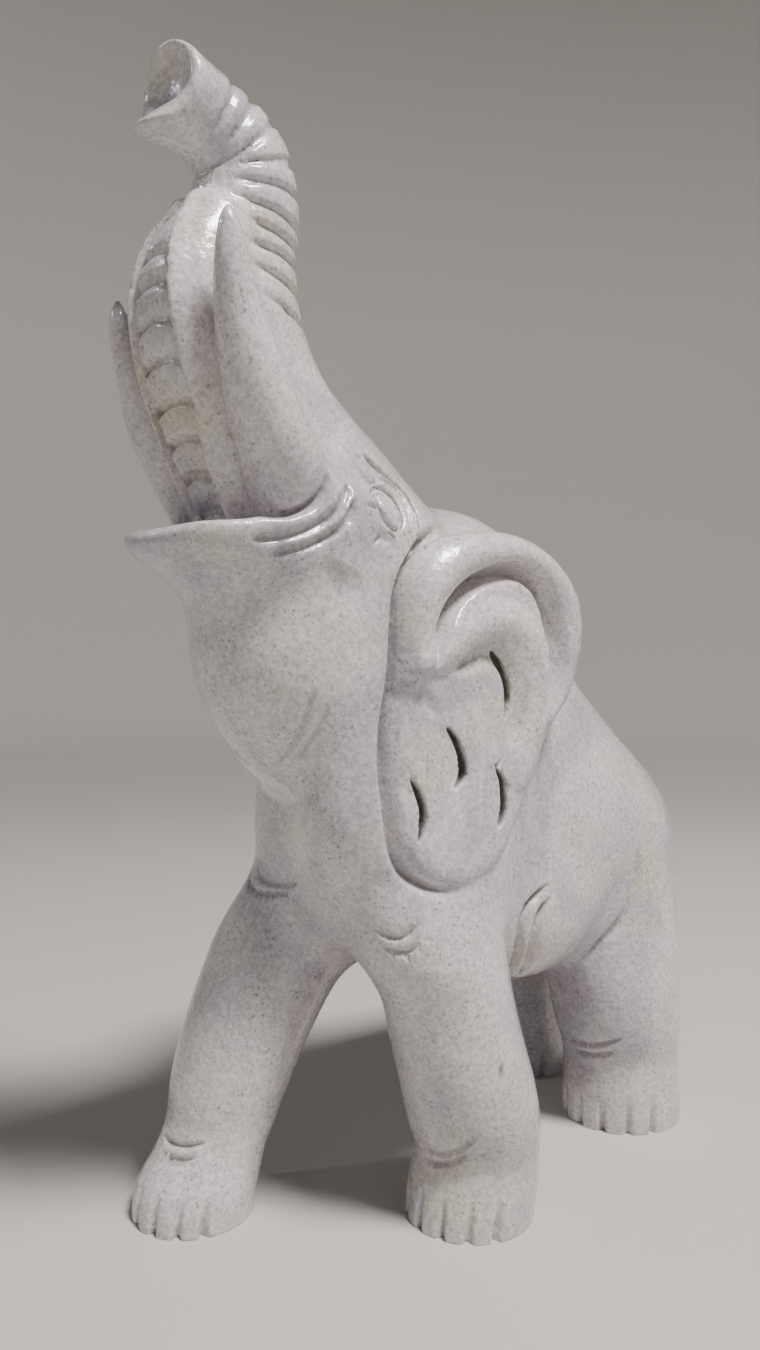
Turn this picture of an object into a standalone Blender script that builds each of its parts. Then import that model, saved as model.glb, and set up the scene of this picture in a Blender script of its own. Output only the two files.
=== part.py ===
"""Marble elephant ornament, standing with its trunk raised, carved from one stone.

The statue is laid out the way a carver works. Rounded masses are blended into one block of stone, then
the mouth, the folds and the grooves are cut into it. The block is a grid of distances to the carved
surface, negative inside the stone. The surface where the distance is zero becomes the mesh, which is
then thinned to a workable number of triangles.

The elephant faces -Y, its left side is +X, and the soles of its feet stand on Z = 0.
"""

import math

import bmesh
import bpy
import numpy as np
import openvdb

# Driving dimension: the statue's height in metres
# Everything below is laid out in units of about a millimetre, and the finished figure is brought to this
# height, with the middle of its box over the origin.
STATUE_HEIGHT = 0.300

# Grid the stone is carved on, the room round it, and how far a fillet can reach from a shape
GRID_STEP = 1.25
BLOCK_EDGE = 4.0
MARGIN = 16.0
TRIANGLES = 9600
SOLE_DEPTH = 0.6

# How wide the fillets are where each mass meets the rest
BODY_FILLET = 10.0
HEAD_FILLET = 14.0
CROWN_FILLET = 12.0
JAW_FILLET = 8.0
LEG_FILLET = 8.0
TAIL_FILLET = 3.0
TRUNK_FILLET = 3.0
TRUNK_FRONT_FILLET = 2.0
EAR_FILLET = 1.0
CUT_ROUNDING = 1.5

# Polished marble, pale warm grey
MARBLE_COLOUR = (0.62, 0.60, 0.57, 1.0)
MARBLE_ROUGHNESS = 0.25

# Middle line and size of each mass along it: y, z, half depth behind, half depth in front, half width
BODY_LINE = [
    (-32, 110, 38, 38, 32),
    (-8, 107, 43, 44, 36),
    (26, 100, 46, 45, 39),
    (58, 96, 46, 42, 39.5),
    (79, 88.5, 37, 37, 36),
]
HEAD_LINE = [
    (50, 96, 34, 30, 33),
    (34, 112, 42, 34, 34),
    (14, 132, 46, 40, 32),
    (-6, 152, 44, 44, 30.5),
    (-26, 170, 32, 40, 29.5),
    (-44, 186, 26, 26, 27.5),
    (-58, 201, 22, 20, 22),
]
TRUNK_LINE = [
    (-34, 178, 29, 24, 24),
    (-48, 190, 29, 22, 23.5),
    (-59, 203, 26, 19, 20.5),
    (-68, 220, 20, 16, 17),
    (-72, 238, 15.5, 14, 15),
    (-72, 254, 14.5, 14, 13.5),
    (-70.5, 267, 14.5, 14.5, 12.5),
    (-73, 278, 14, 12.5, 11.5),
    (-81, 284.5, 11, 12, 10),
    (-89, 287.5, 9.4, 12.5, 10.4),
    (-95, 288.3, 10.2, 13.2, 11.8),
    (-104, 289, 10.4, 13.2, 12.2),
]
TRUNK_FRONT_LINE = [
    (-60, 176, 12, 14, 13),
    (-71, 194, 12, 14, 14),
    (-79, 212, 12, 15.5, 15),
    (-84, 228, 12, 17, 15),
    (-85, 238, 12, 17.5, 14.5),
    (-84, 247, 11, 15.5, 13.5),
    (-80.5, 258, 9, 11, 12),
]

# Ovals stacked up the height: z, x, y, half width, half depth
JAW_LEVELS = [
    (112, 0, -30, 12, 14),
    (120, 0, -35, 21, 25),
    (131, 0, -39, 26, 32),
    (142, 0, -42, 28, 36.5),
    (153, 0, -44.5, 28.5, 38),
    (163, 0, -46, 28, 38),
    (169, 0, -48, 27, 39),
    (174, 0, -51, 26.8, 43),
    (178, 0, -55, 27.2, 46),
    (183, 0, -59, 28, 45),
    (190, 0, -61.5, 28.5, 44),
    (204, 0, -62, 28.5, 44),
]
LEFT_TUSK_LEVELS = [
    (180, 14.5, -66, 9.5, 10),
    (190, 16, -69.5, 10, 10.5),
    (198, 17.5, -73, 10.6, 10.6),
    (213.5, 19, -81.5, 8.6, 9.2),
    (234.4, 20.6, -90, 5.2, 5.7),
    (243.5, 21.6, -92.4, 3.8, 4.1),
    (248.5, 22, -93.3, 2.8, 3.0),
    (252, 22.3, -93.9, 1.7, 1.8),
    (254.2, 22.4, -94, 0.5, 0.5),
]
RIGHT_TUSK_LEVELS = [
    (180, -14.5, -66, 9.5, 10),
    (188, -16, -69, 10, 10.3),
    (196, -17.5, -73, 10.2, 10.4),
    (208, -19, -81, 8.6, 9),
    (224, -20.5, -88.5, 5.4, 5.8),
    (234, -21.5, -92, 3.4, 4),
    (240, -22, -93.5, 2, 2),
    (243, -22, -93.8, 0.5, 0.5),
]
LEFT_FRONT_LEVELS = [
    (-8, 28.4, -15, 17.4, 17.4),
    (1, 28.4, -14.5, 17.8, 17.8),
    (9, 28.4, -13, 18, 18),
    (17, 28.4, -11, 17.4, 17.4),
    (26, 28.4, -12.7, 18.4, 18.6),
    (37, 28, -15.2, 18.6, 18.9),
    (49, 27, -18.5, 18.2, 18.6),
    (61, 26, -21.3, 18, 18.5),
    (75, 24, -25, 18.5, 21),
    (92, 20, -25, 16, 20),
    (104, 16, -24, 9, 12),
]
RIGHT_FRONT_LEVELS = [
    (-8, -28.4, -66, 16, 16.4),
    (2.4, -28.4, -66, 16.6, 17),
    (8.5, -28.4, -64.5, 16.6, 17.2),
    (15.4, -28.4, -60.5, 15.4, 16),
    (22.5, -28.4, -56.5, 15.6, 15.8),
    (33, -28, -53, 17, 17.5),
    (43, -27.5, -49, 18, 19),
    (53, -27, -43.5, 18.6, 21),
    (63, -26, -37.5, 19, 23.5),
    (75, -24, -32.5, 18.5, 24),
    (90, -20, -26, 15, 22),
    (104, -16, -20, 8, 12),
]
LEFT_HIND_LEVELS = [
    (-8, 25.6, 72, 19, 19),
    (6, 25.6, 72, 19.4, 19.8),
    (14.6, 25.6, 71.5, 18.8, 19.4),
    (23, 25.6, 71.3, 19, 19.6),
    (32, 25.6, 69.5, 20.2, 21.5),
    (44, 25, 68, 21, 23),
    (60, 23, 69, 21, 26),
    (82, 19, 71, 19, 26),
    (104, 14, 70, 9, 14),
]
RIGHT_HIND_LEVELS = [
    (-8, -26, 86, 18.6, 18.8),
    (6, -26, 86, 19, 19.5),
    (14.6, -26, 85.5, 18.4, 18.8),
    (23, -26, 84, 18.6, 19),
    (32, -26, 82, 19.8, 20.5),
    (44, -25, 79, 21, 23),
    (60, -23, 76, 21, 26),
    (82, -19, 74, 19, 25),
    (104, -14, 72, 9, 14),
]

# Rounded masses: centre and radii; shoulders and hips are mirrored
CROWN = ((0, 6, 172), (25, 30, 26))
SHOULDER = ((19, -20, 92), (19, 24, 30))
HIP = ((20, 70, 84), (20, 25.5, 33))
NECK_SWELL = ((13, -42, 118), (16, 18, 26))
BELLY_FOLD = ((22, 20, 78), (16.5, 26, 20.5))

# Rim of the lower lip in side view, from the spout back to the corner of the mouth: y, z
LIP_RIM = [
    (-106, 180),
    (-101.5, 182.6),
    (-96.5, 184.2),
    (-87.5, 185.2),
    (-76, 188),
    (-68, 190.8),
    (-63, 193),
    (-58, 193.5),
    (-50, 191),
    (-40, 186),
]
LIP_WALL = 4.5
LIP_ROUNDING = 3.5
MOUTH_BACK = -72.0
MOUTH_DEPTH = 9.0
# The hollow gets shallower towards the spout
SPOUT_Y = -100.0
SPOUT_DEPTH = 3.0
SPOUT_SLOPE = 2.2

# Fillet round a tusk: narrow in front, wide behind its middle line and at each height
TUSK_FILLET = 1.5
TUSK_FILLET_BACK = (11.0, 8.0, 0.0)
TUSK_FILLET_Z = (190, 215, 236)
TUSK_FILLET_FROM = -3.5
TUSK_FILLET_OVER = 8.0

# Grooves between the rings of the trunk: how far along it they lie, depth, half width above and below
RING_GROOVES = (74.5, 81.7, 87.8, 92.8, 98.2, 104.8, 110.4, 116.2, 121.3, 126.3)
RING_DEPTH = 1.5
RING_ABOVE = 1.3
RING_BELOW = 2.6
RING_SLANT = 8.0
# Where along the trunk the slant ends, and the angle from its back at which the grooves run out
RING_SLANT_RUN = (74, 88)
RING_END_RUN = (74, 94)
RING_END_ANGLE = (1.9, 2.6)
RING_END_FADE = 0.6
# The rings past the bend are softer
RING_SOFT_RUN = (102, 112)
RING_SOFT_SHARE = (1.0, 0.65)

# Panel up the front of the trunk, and the grooves between the pads on it
PANEL_RUN = (20, 32, 46, 62, 70, 78, 85, 92)
PANEL_HALF = (6.0, 6.4, 8.3, 7.8, 7.2, 5.2, 3.6, 0.5)
PANEL_DEPTH = 1.6
PANEL_WALL = 1.4
PANEL_EDGE_RISE = 0.8
PANEL_EDGE_OUT = 1.6
PANEL_EDGE_HALF = 2.6
PAD_GROOVES = (21.5, 30.0, 38.5, 47.0, 55.7, 63.3, 69.9, 75.8)
PAD_ARCH = 1.5
PAD_BELOW = 1.3
PAD_ABOVE = 2.4
PAD_DEPTH = 1.2
PAD_INSET = 1.2

# End of the trunk in side view, from its top to the finger below: z, y and how far its sides lie back
TRUNK_END = [
    (270, -106, 8),
    (276.5, -103.6, 8),
    (279, -100.5, 6),
    (283, -96.5, 1.5),
    (287.5, -94.4, 0),
    (293, -94.6, 0),
    (298, -96.6, 1),
    (302, -98, 1),
]
TRUNK_END_HALF = 12.0
TRUNK_END_BACK = -82.0
NOSTRIL = ((0.6, -95, 289.4), (6.8, 2.8, 6.4))
TIP_ROUNDING = 3.2

# Ear in side view: y, z round its edge, starting at the top and going forward
EAR_EDGE = [
    (-12.8, 187.7), (-22.1, 186.7), (-34.5, 182.2), (-42.1, 174), (-45, 164.4), (-46, 154.3),
    (-47.6, 144.2), (-49.2, 134), (-49.4, 122), (-48.2, 112), (-45.4, 103), (-41, 96.5),
    (-34, 93.6), (-25.6, 93.5), (-17.2, 96.8), (-10.6, 104.1), (-3.4, 116), (3.9, 128.4),
    (12.2, 142.2), (17.7, 153.6), (18.4, 162.2), (15.9, 172.7), (9.1, 180.9), (0.5, 185.6),
]
# How far the face of the ear stands from the middle at each height, how it flares to the back, and how
# it falls towards the head along its front edge
EAR_FACE_Z = (90, 110, 130, 150, 170, 190)
EAR_FACE_X = (40, 38, 36.5, 36, 36, 35)
EAR_FLARE = 0.2
EAR_MIDDLE = -20.0
EAR_FALL = 3.0
EAR_FALL_FROM = -28.0
EAR_FALL_OVER = 20.0
EAR_THICKNESS = 7.5
EAR_ROUNDING = 3.2
# The groove in the head and neck along the front and lower edge of the ear
EAR_GROOVE_DEPTH = 3.2
EAR_GROOVE_HALF = 2.6
EAR_GROOVE_OUT = 0.4
EAR_GROOVE_BACK = -22.0
EAR_GROOVE_FADE = 14.0
EAR_GROOVE_Z = (95, 145)
EAR_GROOVE_SHARE = (0.5, 1.0)
# The right ear lies further back, and higher over the shoulder of the leg that is stepped forward
RIGHT_EAR_SHIFT = 13.0
RIGHT_EAR_LIFT = 3.0
EAR_LIFT_BELOW = 150.0
EAR_LIFT_OVER = 50.0

# Carving on the ear: height over the face (minus is cut in), half width, length over which its ends rise
# to the full size, and the line it follows
EAR_CARVING = [
    # Rolled rim, the groove inside it and the soft edge of the lobe
    (3.4, 7.2, 12, [
        (-43.5, 140), (-40, 162.9), (-35.7, 171.5), (-27.1, 178.4), (-15.4, 182.2), (-3.5, 181.6),
        (6.3, 176.1), (11.8, 167.8), (12.4, 158.3), (9.8, 148.9), (2, 133),
    ]),
    (-5.2, 3.2, 16, [
        (-36.5, 150), (-34, 157), (-31.4, 164.4), (-28, 168.4), (-23.2, 172.2), (-18.1, 174.7), (-11.7, 176.6),
        (-7.3, 177.1), (-3.1, 176.1), (1.1, 173.1), (4.1, 168.5), (5.8, 163.9), (6.9, 158.3), (6.8, 152.6),
        (4, 143), (0, 135),
    ]),
    (0.8, 4.2, 12, [
        (-45.5, 138), (-45.2, 118), (-42, 104), (-36, 98.5), (-28, 97.5), (-20, 100.5), (-10, 112),
    ]),
    # Inner fold, the hollow under it and the crease where the lobe starts
    (2.4, 7.4, 9, [
        (-44, 150), (-35.8, 152.6), (-26.4, 158.8), (-14.9, 163.4), (-5.3, 161), (1, 152.8), (0.5, 141.7),
        (-4, 129), (-9, 115),
    ]),
    (-2.0, 4.4, 7, [
        (-29, 149), (-21.4, 152.4), (-17.7, 153.5), (-12.8, 152.8), (-9, 149.5), (-7.4, 144), (-8, 136),
        (-10, 129),
    ]),
    (-0.9, 5.2, 6, [(-52, 140), (-45.9, 143), (-41.5, 144), (-37, 142), (-33, 137)]),
    # Ridge down the middle of the lobe
    (2.0, 4.4, 12, [(-21.9, 142), (-21.5, 131.5), (-21.9, 124.5), (-22.8, 117.6), (-23.7, 103)]),
]
# Slits in the ear, each with a shallow trough behind it, and how far below the face they are cut
SLITS = [
    [(-14.6, 155.2), (-10.7, 151.3), (-8.7, 147.6), (-8, 143), (-9.7, 135.8)],
    [(-31.4, 135.4), (-27.8, 131.2), (-26.4, 127.2), (-26.5, 122.8), (-29.6, 118.6)],
    [(-43, 122.8), (-40.1, 118.2), (-39.1, 114.3), (-39.3, 111), (-42, 105.8)],
    [(-15.2, 124.1), (-12.8, 120.1), (-12.5, 116.6), (-12.8, 112.5), (-15.8, 107.6)],
]
SLIT_DEPTH = 4.6
SLIT_HALF = 1.6
SLIT_TAPER = 6.0
SLIT_REACH = 4.6
TROUGH_DEPTH = 0.9
TROUGH_HALF = 4.2
TROUGH_SHIFT = 2.4
TROUGH_TAPER = 7.0

# Lines cut into both sides of the head and body in side view: depth, half width, taper of the ends, least
# x and the line of y, z
LINE_TAPER = 4.0
# How deep the passes of a groove start, as shares of its half width
CUT_PASSES = (0.0, 0.6)
SIDE_LINES = [
    # Lids and brow
    (1.2, 1.9, 4, 15, [(-48, 197.4), (-51.6, 195), (-51.4, 190.4), (-48.5, 186.6), (-45, 184.6)]),
    (1.2, 1.9, 4, 15, [(-50, 197.2), (-46, 197), (-40.6, 194), (-39.8, 190), (-42.2, 186), (-46, 184.6)]),
    (0.9, 1.7, 4, 15, [(-50, 204.6), (-44.7, 201.5), (-39, 199.1), (-35, 195.8), (-35.5, 189), (-35.6, 181)]),
    # Rim of the lip where it runs up beside the tusk
    (1.3, 2.0, 9, 20, [(-84, 185.6), (-78.1, 186.6), (-74.5, 188.2), (-71.4, 190.6), (-69, 198)]),
    # Folds behind the front leg
    (1.2, 2.2, 6, 20, [(10, 88.6), (6, 86), (2, 83), (0.6, 78.6), (1.4, 72.6), (4, 66), (9.1, 58.8)]),
    (1.4, 2.2, 6, 20, [(11, 84.4), (8, 82.2), (6.4, 79), (6, 74.4), (7, 68.4), (9, 63.8), (13.5, 58)]),
    # Edge of the thigh
    (1.3, 3.4, 14, 20, [(56.2, 95), (57, 86.8), (56.6, 80), (54.3, 73.7), (50.2, 68.1), (43, 56)]),
]

# Creases round a leg: depth, half width, then angle from the front and height at both ends and how far the
# middle hangs below them
LEG_CREASES = {
    "left front": [
        (1.2, 2.3, 3, 84, 42, 86.2, 3.2),
        (1.2, 2.3, 6, 79.8, 40, 81.2, 2.2),
        (1.2, 2.3, -23, 21.4, 45, 29, 3.6),
        (1.2, 2.3, -21, 17.6, 37, 24, 2.4),
    ],
    "right front": [
        (1.2, 2.3, -22, 21, 38, 22.4, 1),
        (1.2, 2.3, -14, 17.9, 36, 18.9, 0.8),
    ],
    "left hind": [
        (1.2, 2.3, -26, 28.4, 39, 33.2, 2.2),
        (1.2, 2.3, -20, 24.6, 34, 28.6, 1.6),
    ],
    "right hind": [
        (1.2, 2.3, -33, 33, 25, 29, 2.5),
        (1.2, 2.3, -37, 29, 20, 26, 2.5),
    ],
}
# Folds at the corner of the mouth and creases under the jaw, cut on both sides, and creases across the
# chest: depth, half width, line of x, y, z
JOWL_CREASES = [
    (1.3, 2.2, [
        (29, -60.6, 198), (29.2, -61.8, 195), (30, -64, 191.6), (29.6, -67.4, 187.4), (27.6, -71, 184.6),
        (25.4, -76, 182.4), (23.6, -82, 180.8), (21, -87, 180.4),
    ]),
    (1.2, 2.2, [
        (29.2, -60.4, 192), (29, -62.6, 187), (28.4, -66.4, 183.2), (26.2, -71, 180.4), (24, -76.6, 178.4),
        (21.6, -81.6, 177.2),
    ]),
    (1.1, 2.3, [(22, -67, 146), (18, -67, 138), (14.5, -66.7, 133), (9.7, -66.3, 129), (3.4, -66, 124.8)]),
    (0.9, 2.2, [(22.6, -63, 141.8), (19.9, -63.8, 135.9), (16.4, -64.5, 131.7), (10.4, -65.2, 126.8)]),
]
CHEST_CREASES = [
    (1.1, 2.2, [(-22.6, -47.6, 94.4), (-20.6, -48.8, 91.6), (-15.8, -49.3, 90.2), (-1, -51.3, 92.5)]),
    (1.1, 2.2, [(-27.2, -46.6, 91.6), (-24.4, -48.6, 88.4), (-19, -50, 87.2), (-6, -49.4, 89)]),
]

# Toes: angle between the grooves, their number, height and depth
TOE_GROOVES = 6
TOE_SPREAD = 62.0
TOE_HEIGHT = 10.5
TOE_DEPTH = 1.8
TOE_HALF_WIDTH = 2.0

# Tail lying against the rump: x, y, z and radius down its length
TAIL = [
    (0, 92, 124, 0.5),
    (0, 101, 118, 2.6),
    (0, 108, 103, 4.0),
    (1, 108, 86, 3.6),
    (2, 105, 70, 3.2),
    (2, 103, 58, 4.8),
    (2, 100, 47, 4.0),
    (2, 98, 39, 1.0),
]


def smooth_min(a, b, reach):
    """The nearer of two distances, rounded off where they differ by less than reach."""
    mix = np.maximum(reach - np.abs(a - b), 0.0) / reach
    return np.minimum(a, b) - mix * mix * reach * 0.25


def bump(distance, half_width):
    """A smooth rise to 1 at distance 0 that ends level at the half width."""
    share = np.minimum(np.abs(distance) / half_width, 1.0)
    return (1.0 - share * share) ** 2


def through(knots, values, at):
    """A smooth curve through the values at the knots, read at the given places and flat past its ends."""
    knots = np.asarray(knots, float)
    values = np.asarray(values, float)
    slopes = np.gradient(values, knots, axis=0)
    place = np.clip(at, knots[0], knots[-1])
    i = np.clip(np.searchsorted(knots, place, side="right") - 1, 0, len(knots) - 2)
    span = knots[i + 1] - knots[i]
    t = (place - knots[i]) / span
    if values.ndim > 1:
        t = t[..., None]
        span = span[..., None]
    rise = 3 * t**2 - 2 * t**3
    start = (t**3 - 2 * t**2 + t) * span
    end = (t**3 - t**2) * span
    return values[i] * (1 - rise) + values[i + 1] * rise + slopes[i] * start + slopes[i + 1] * end


def smooth_line(points, pieces, closed=False):
    """A smooth line through the points, as short straight pieces."""
    points = np.array(points, float)
    if closed:
        points = np.vstack([points[-3:], points, points[:4]])
    knots = np.concatenate([[0.0], np.cumsum(np.linalg.norm(np.diff(points, axis=0), axis=1))])
    low, high = (knots[3], knots[-4]) if closed else (knots[0], knots[-1])
    return through(knots, points, np.linspace(low, high, pieces + 1))


def line_distance(line, *where):
    """Distance to a line of straight pieces, in the plane or in space."""
    nearest = np.inf
    for a, b in zip(line[:-1], line[1:]):
        step = b - a
        offsets = [w - c for w, c in zip(where, a)]
        share = np.clip(sum(o * s for o, s in zip(offsets, step)) / (step @ step), 0.0, 1.0)
        nearest = np.minimum(nearest, sum((o - share * s) ** 2 for o, s in zip(offsets, step)))
    return np.sqrt(nearest)


def stroke(line, half_width, taper, *where):
    """A rise to 1 along a line, which narrows and fades to nothing over the taper at both of its ends."""
    distance = line_distance(line, *where)
    start, end = (np.sqrt(sum((w - c) ** 2 for w, c in zip(where, tip))) for tip in (line[0], line[-1]))
    full = np.clip((np.minimum(start, end) - distance) / taper, 0.0, 1.0)
    full = full * (2.0 - full)
    return full * bump(distance, half_width * (0.5 + 0.5 * full))


def inside(outline, y, z):
    """Which points of the plane lie inside a closed outline."""
    odd = np.zeros(np.broadcast(y, z).shape, bool)
    for (ay, az), (by, bz) in zip(outline[:-1], outline[1:]):
        if az != bz:
            crossing = ((az > z) != (bz > z)) & (y < ay + (z - az) / (bz - az) * (by - ay))
            odd ^= crossing
    return odd


def from_centre(*parts):
    """Roughly the distance to a rounded shape, from pairs of an offset and the radius along it."""
    share = np.sqrt(sum((offset / radius) ** 2 for offset, radius in parts))
    radius = np.sqrt(sum(offset**2 for offset, _ in parts))
    return radius - radius / np.maximum(share, 1e-4)


class Shape:
    """A solid given by the distance to its surface, and the box it lies in."""

    def __init__(self, distance, low, high):
        self.distance = distance
        self.low = np.array(low, float)
        self.high = np.array(high, float)

    def __call__(self, x, y, z):
        return self.distance(x, y, z)


def ball(centre, radii, side=1, shift=0.0):
    """An ellipsoid, on the left side, or mirrored to the right and shifted back."""
    middle = np.array([side * centre[0], centre[1] + shift, centre[2]])

    def distance(*at):
        return from_centre(*[(a - m, radius) for a, m, radius in zip(at, middle, radii)])

    return Shape(distance, middle - radii, middle + radii)


class Sweep:
    """Ovals strung along a line in the plane of symmetry, with an optional relief on them."""

    def __init__(self, stations, end, relief=None, pieces=72):
        stations = np.array(stations, float)
        knots = np.concatenate([[0.0], np.cumsum(np.hypot(*np.diff(stations[:, :2], axis=0).T))])
        self.run = np.linspace(0.0, knots[-1], pieces + 1)
        self.line = through(knots, stations[:, :2], self.run)
        self.sizes = through(knots, stations[:, 2:], self.run)
        self.end = end
        self.relief = relief
        reach = self.sizes[:, :2].max(axis=1, keepdims=True) + end
        width = self.sizes[:, 2].max()
        self.low = np.array([-width, *(self.line - reach).min(axis=0)])
        self.high = np.array([width, *(self.line + reach).max(axis=0)])

    def locate(self, y, z):
        """For points of the plane: how far along the line, how far behind it, and how far past its end."""
        nearest = np.full(np.broadcast(y, z).shape, np.inf)
        run, behind, past = (np.zeros_like(nearest) for _ in range(3))
        last = len(self.line) - 2
        for i, (start, stop) in enumerate(zip(self.line[:-1], self.line[1:])):
            length = np.hypot(*(stop - start))
            ty, tz = (stop - start) / length
            dy, dz = y - start[0], z - start[1]
            along = dy * ty + dz * tz
            share = np.clip(along / length, 0.0, 1.0)
            side = dy * tz - dz * ty
            over = along - share * length
            gap = side**2 + over**2
            nearer = gap < nearest
            ended = (over < 0) & (i == 0) | (over > 0) & (i == last)
            nearest = np.where(nearer, gap, nearest)
            run = np.where(nearer, self.run[i] + share * (self.run[i + 1] - self.run[i]), run)
            behind = np.where(nearer, np.where(ended, side, np.copysign(np.sqrt(gap), side)), behind)
            past = np.where(nearer, np.where(ended, over, 0.0), past)
        return run, behind, past

    def __call__(self, x, y, z):
        run, behind, past = self.locate(y, z)
        back, front, width = (np.interp(run, self.run, size) for size in self.sizes.T)
        depth = np.where(behind > 0, back, front)
        distance = from_centre((x, width), (behind, depth), (past, self.end))
        if self.relief:
            angle = np.arctan2(np.abs(x) / width, behind / depth)
            distance = distance - self.relief(run, angle, x, width, depth)
        return distance


class Column:
    """Ovals stacked up the height, with toes cut into the foot where asked."""

    def __init__(self, levels, toes=False):
        self.levels = np.array(levels, float)
        self.toes = toes
        z, x, y, width, depth = self.levels.T
        self.low = np.array([(x - width).min(), (y - depth).min(), z[0]])
        self.high = np.array([(x + width).max(), (y + depth).max(), z[-1]])

    def at(self, z):
        """Centre and half sizes at a height."""
        return np.moveaxis(through(self.levels[:, 0], self.levels[:, 1:], z), -1, 0)

    def __call__(self, x, y, z):
        cx, cy, width, depth = self.at(z)
        distance = from_centre((x - cx, width), (y - cy, depth))
        if self.toes:
            distance = distance + toe_grooves(x - cx, y - cy, width, z)
        low, high = self.levels[0, 0], self.levels[-1, 0]
        return np.maximum(distance, np.maximum(low - z, z - high))

    def crease(self, angle_a, z_a, angle_b, z_b, hang):
        """A line round the front of the column, as points in space."""
        share = np.linspace(0.0, 1.0, 9)
        z = z_a + (z_b - z_a) * share - hang * 4 * share * (1 - share)
        angle = np.radians(angle_a + (angle_b - angle_a) * share)
        cx, cy, width, depth = self.at(z)
        return np.stack([cx + width * np.sin(angle), cy - depth * np.cos(angle), z], axis=1)


class Block:
    """The block of stone: a grid of distances to the carved surface, negative inside the stone."""

    def __init__(self, shapes, step):
        self.low = np.min([shape.low for shape in shapes], axis=0) - BLOCK_EDGE
        self.high = np.max([shape.high for shape in shapes], axis=0) + BLOCK_EDGE
        self.step = step
        self.ticks = [np.arange(a, b, step, dtype=np.float32) for a, b in zip(self.low, self.high)]
        self.far = float(np.linalg.norm(self.high - self.low))
        self.distance = np.full([len(ticks) for ticks in self.ticks], self.far, np.float32)

    def window(self, low, high):
        """The part of the grid between two corners, and its x, y and z."""
        cut = tuple(slice(*np.searchsorted(t, (a, b))) for t, a, b in zip(self.ticks, low, high))
        x, y, z = (ticks[part] for ticks, part in zip(self.ticks, cut))
        return cut, x[:, None, None], y[None, :, None], z[None, None, :]

    def add(self, shape, blend):
        """Adds a shape, with a fillet where it meets the stone."""
        cut, x, y, z = self.window(shape.low - MARGIN, shape.high + MARGIN)
        reach = blend(x, y, z) if callable(blend) else blend
        self.distance[cut] = smooth_min(self.distance[cut], shape(x, y, z), reach)

    def carve(self, shape, blend):
        """Cuts a shape away, with a rounded edge."""
        cut, x, y, z = self.window(shape.low - MARGIN, shape.high + MARGIN)
        self.distance[cut] = -smooth_min(-self.distance[cut], shape(x, y, z), blend)

    def sample(self, points):
        """The distance at points between those of the grid."""
        place = (points - self.low) / self.step
        corner = np.floor(place).astype(int)
        share = place - corner
        total = 0.0
        for i, j, k in np.ndindex(2, 2, 2):
            weight = np.prod(np.where((i, j, k), share, 1.0 - share), axis=-1)
            total = total + weight * self.distance[tuple((corner + (i, j, k)).T)]
        return total

    def outward(self, points):
        """The way out of the stone at points, as long as the distance changes per unit."""
        reach = np.eye(3) * self.step
        slope = [(self.sample(points + r) - self.sample(points - r)) / (2 * self.step) for r in reach]
        return np.stack(slope, axis=-1)

    def settle(self, points):
        """Moves points to the nearest place on the carved surface."""
        points = np.array(points, float)
        for _ in range(8):
            slope = self.outward(points)
            steep = np.maximum((slope**2).sum(axis=-1, keepdims=True), 0.2)
            points = points - self.sample(points)[:, None] * slope / steep
        return points

    def engrave(self, line, depth, half_width):
        """Cuts a groove into the surface along a line near it, in passes that go deeper."""
        line = self.settle(line)
        outward = self.outward(line)
        outward /= np.linalg.norm(outward, axis=1, keepdims=True)
        for sunk in CUT_PASSES:
            deeper = line - outward * sunk * half_width
            cut, x, y, z = self.window(deeper.min(axis=0) - half_width, deeper.max(axis=0) + half_width)
            self.distance[cut] += depth * stroke(deeper, half_width, LINE_TAPER, x, y, z)

    def engrave_sides(self, line, depth, half_width, taper, least_x):
        """Cuts a line drawn in side view into the stone on both sides, beyond the least x."""
        line = smooth_line(line, 16)
        low, high = line.min(axis=0) - half_width, line.max(axis=0) + half_width
        for left, right in ((least_x, self.high[0]), (self.low[0], -least_x)):
            cut, x, y, z = self.window((left, *low), (right, *high))
            self.distance[cut] += depth * stroke(line, half_width, taper, y, z)

    def mesh(self, name):
        """The carved surface as a mesh, still in units."""
        grid = openvdb.FloatGrid(background=self.far)
        grid.copyFromArray(self.distance)
        points, quads = grid.convertToQuads(isovalue=0.0)
        points = points * self.step + self.low
        mesh = bpy.data.meshes.new(name)
        mesh.from_pydata(points.tolist(), [], quads.tolist())
        return mesh


def toe_grooves(x, y, width, z):
    """Grooves up from the sole between the toes, widest at the ground."""
    angle = np.arctan2(x, -y)
    depth = 0.0
    for toe in np.linspace(-1.0, 1.0, TOE_GROOVES):
        across = (angle - math.radians(toe * TOE_SPREAD)) * width
        depth = depth + bump(across, TOE_HALF_WIDTH)
    return depth * TOE_DEPTH * np.clip(1.0 - z / TOE_HEIGHT, 0.0, 1.0) ** 0.7


def trunk_rings(run, angle, *_):
    """Grooves round the back and sides of the trunk, each steep above and easing out below."""
    slant = np.interp(run, RING_SLANT_RUN, (RING_SLANT, 0.0))
    place = run - slant * (2.0 * angle / math.pi - 1.0)
    depth = 0.0
    for groove in RING_GROOVES:
        half = np.where(place > groove, RING_ABOVE, RING_BELOW)
        depth = np.maximum(depth, bump(place - groove, half))
    depth = depth * np.interp(run, RING_SOFT_RUN, RING_SOFT_SHARE)
    end = np.interp(run, RING_END_RUN, RING_END_ANGLE)
    return -RING_DEPTH * depth * np.clip((end - angle) / RING_END_FADE, 0.0, 1.0)


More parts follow.
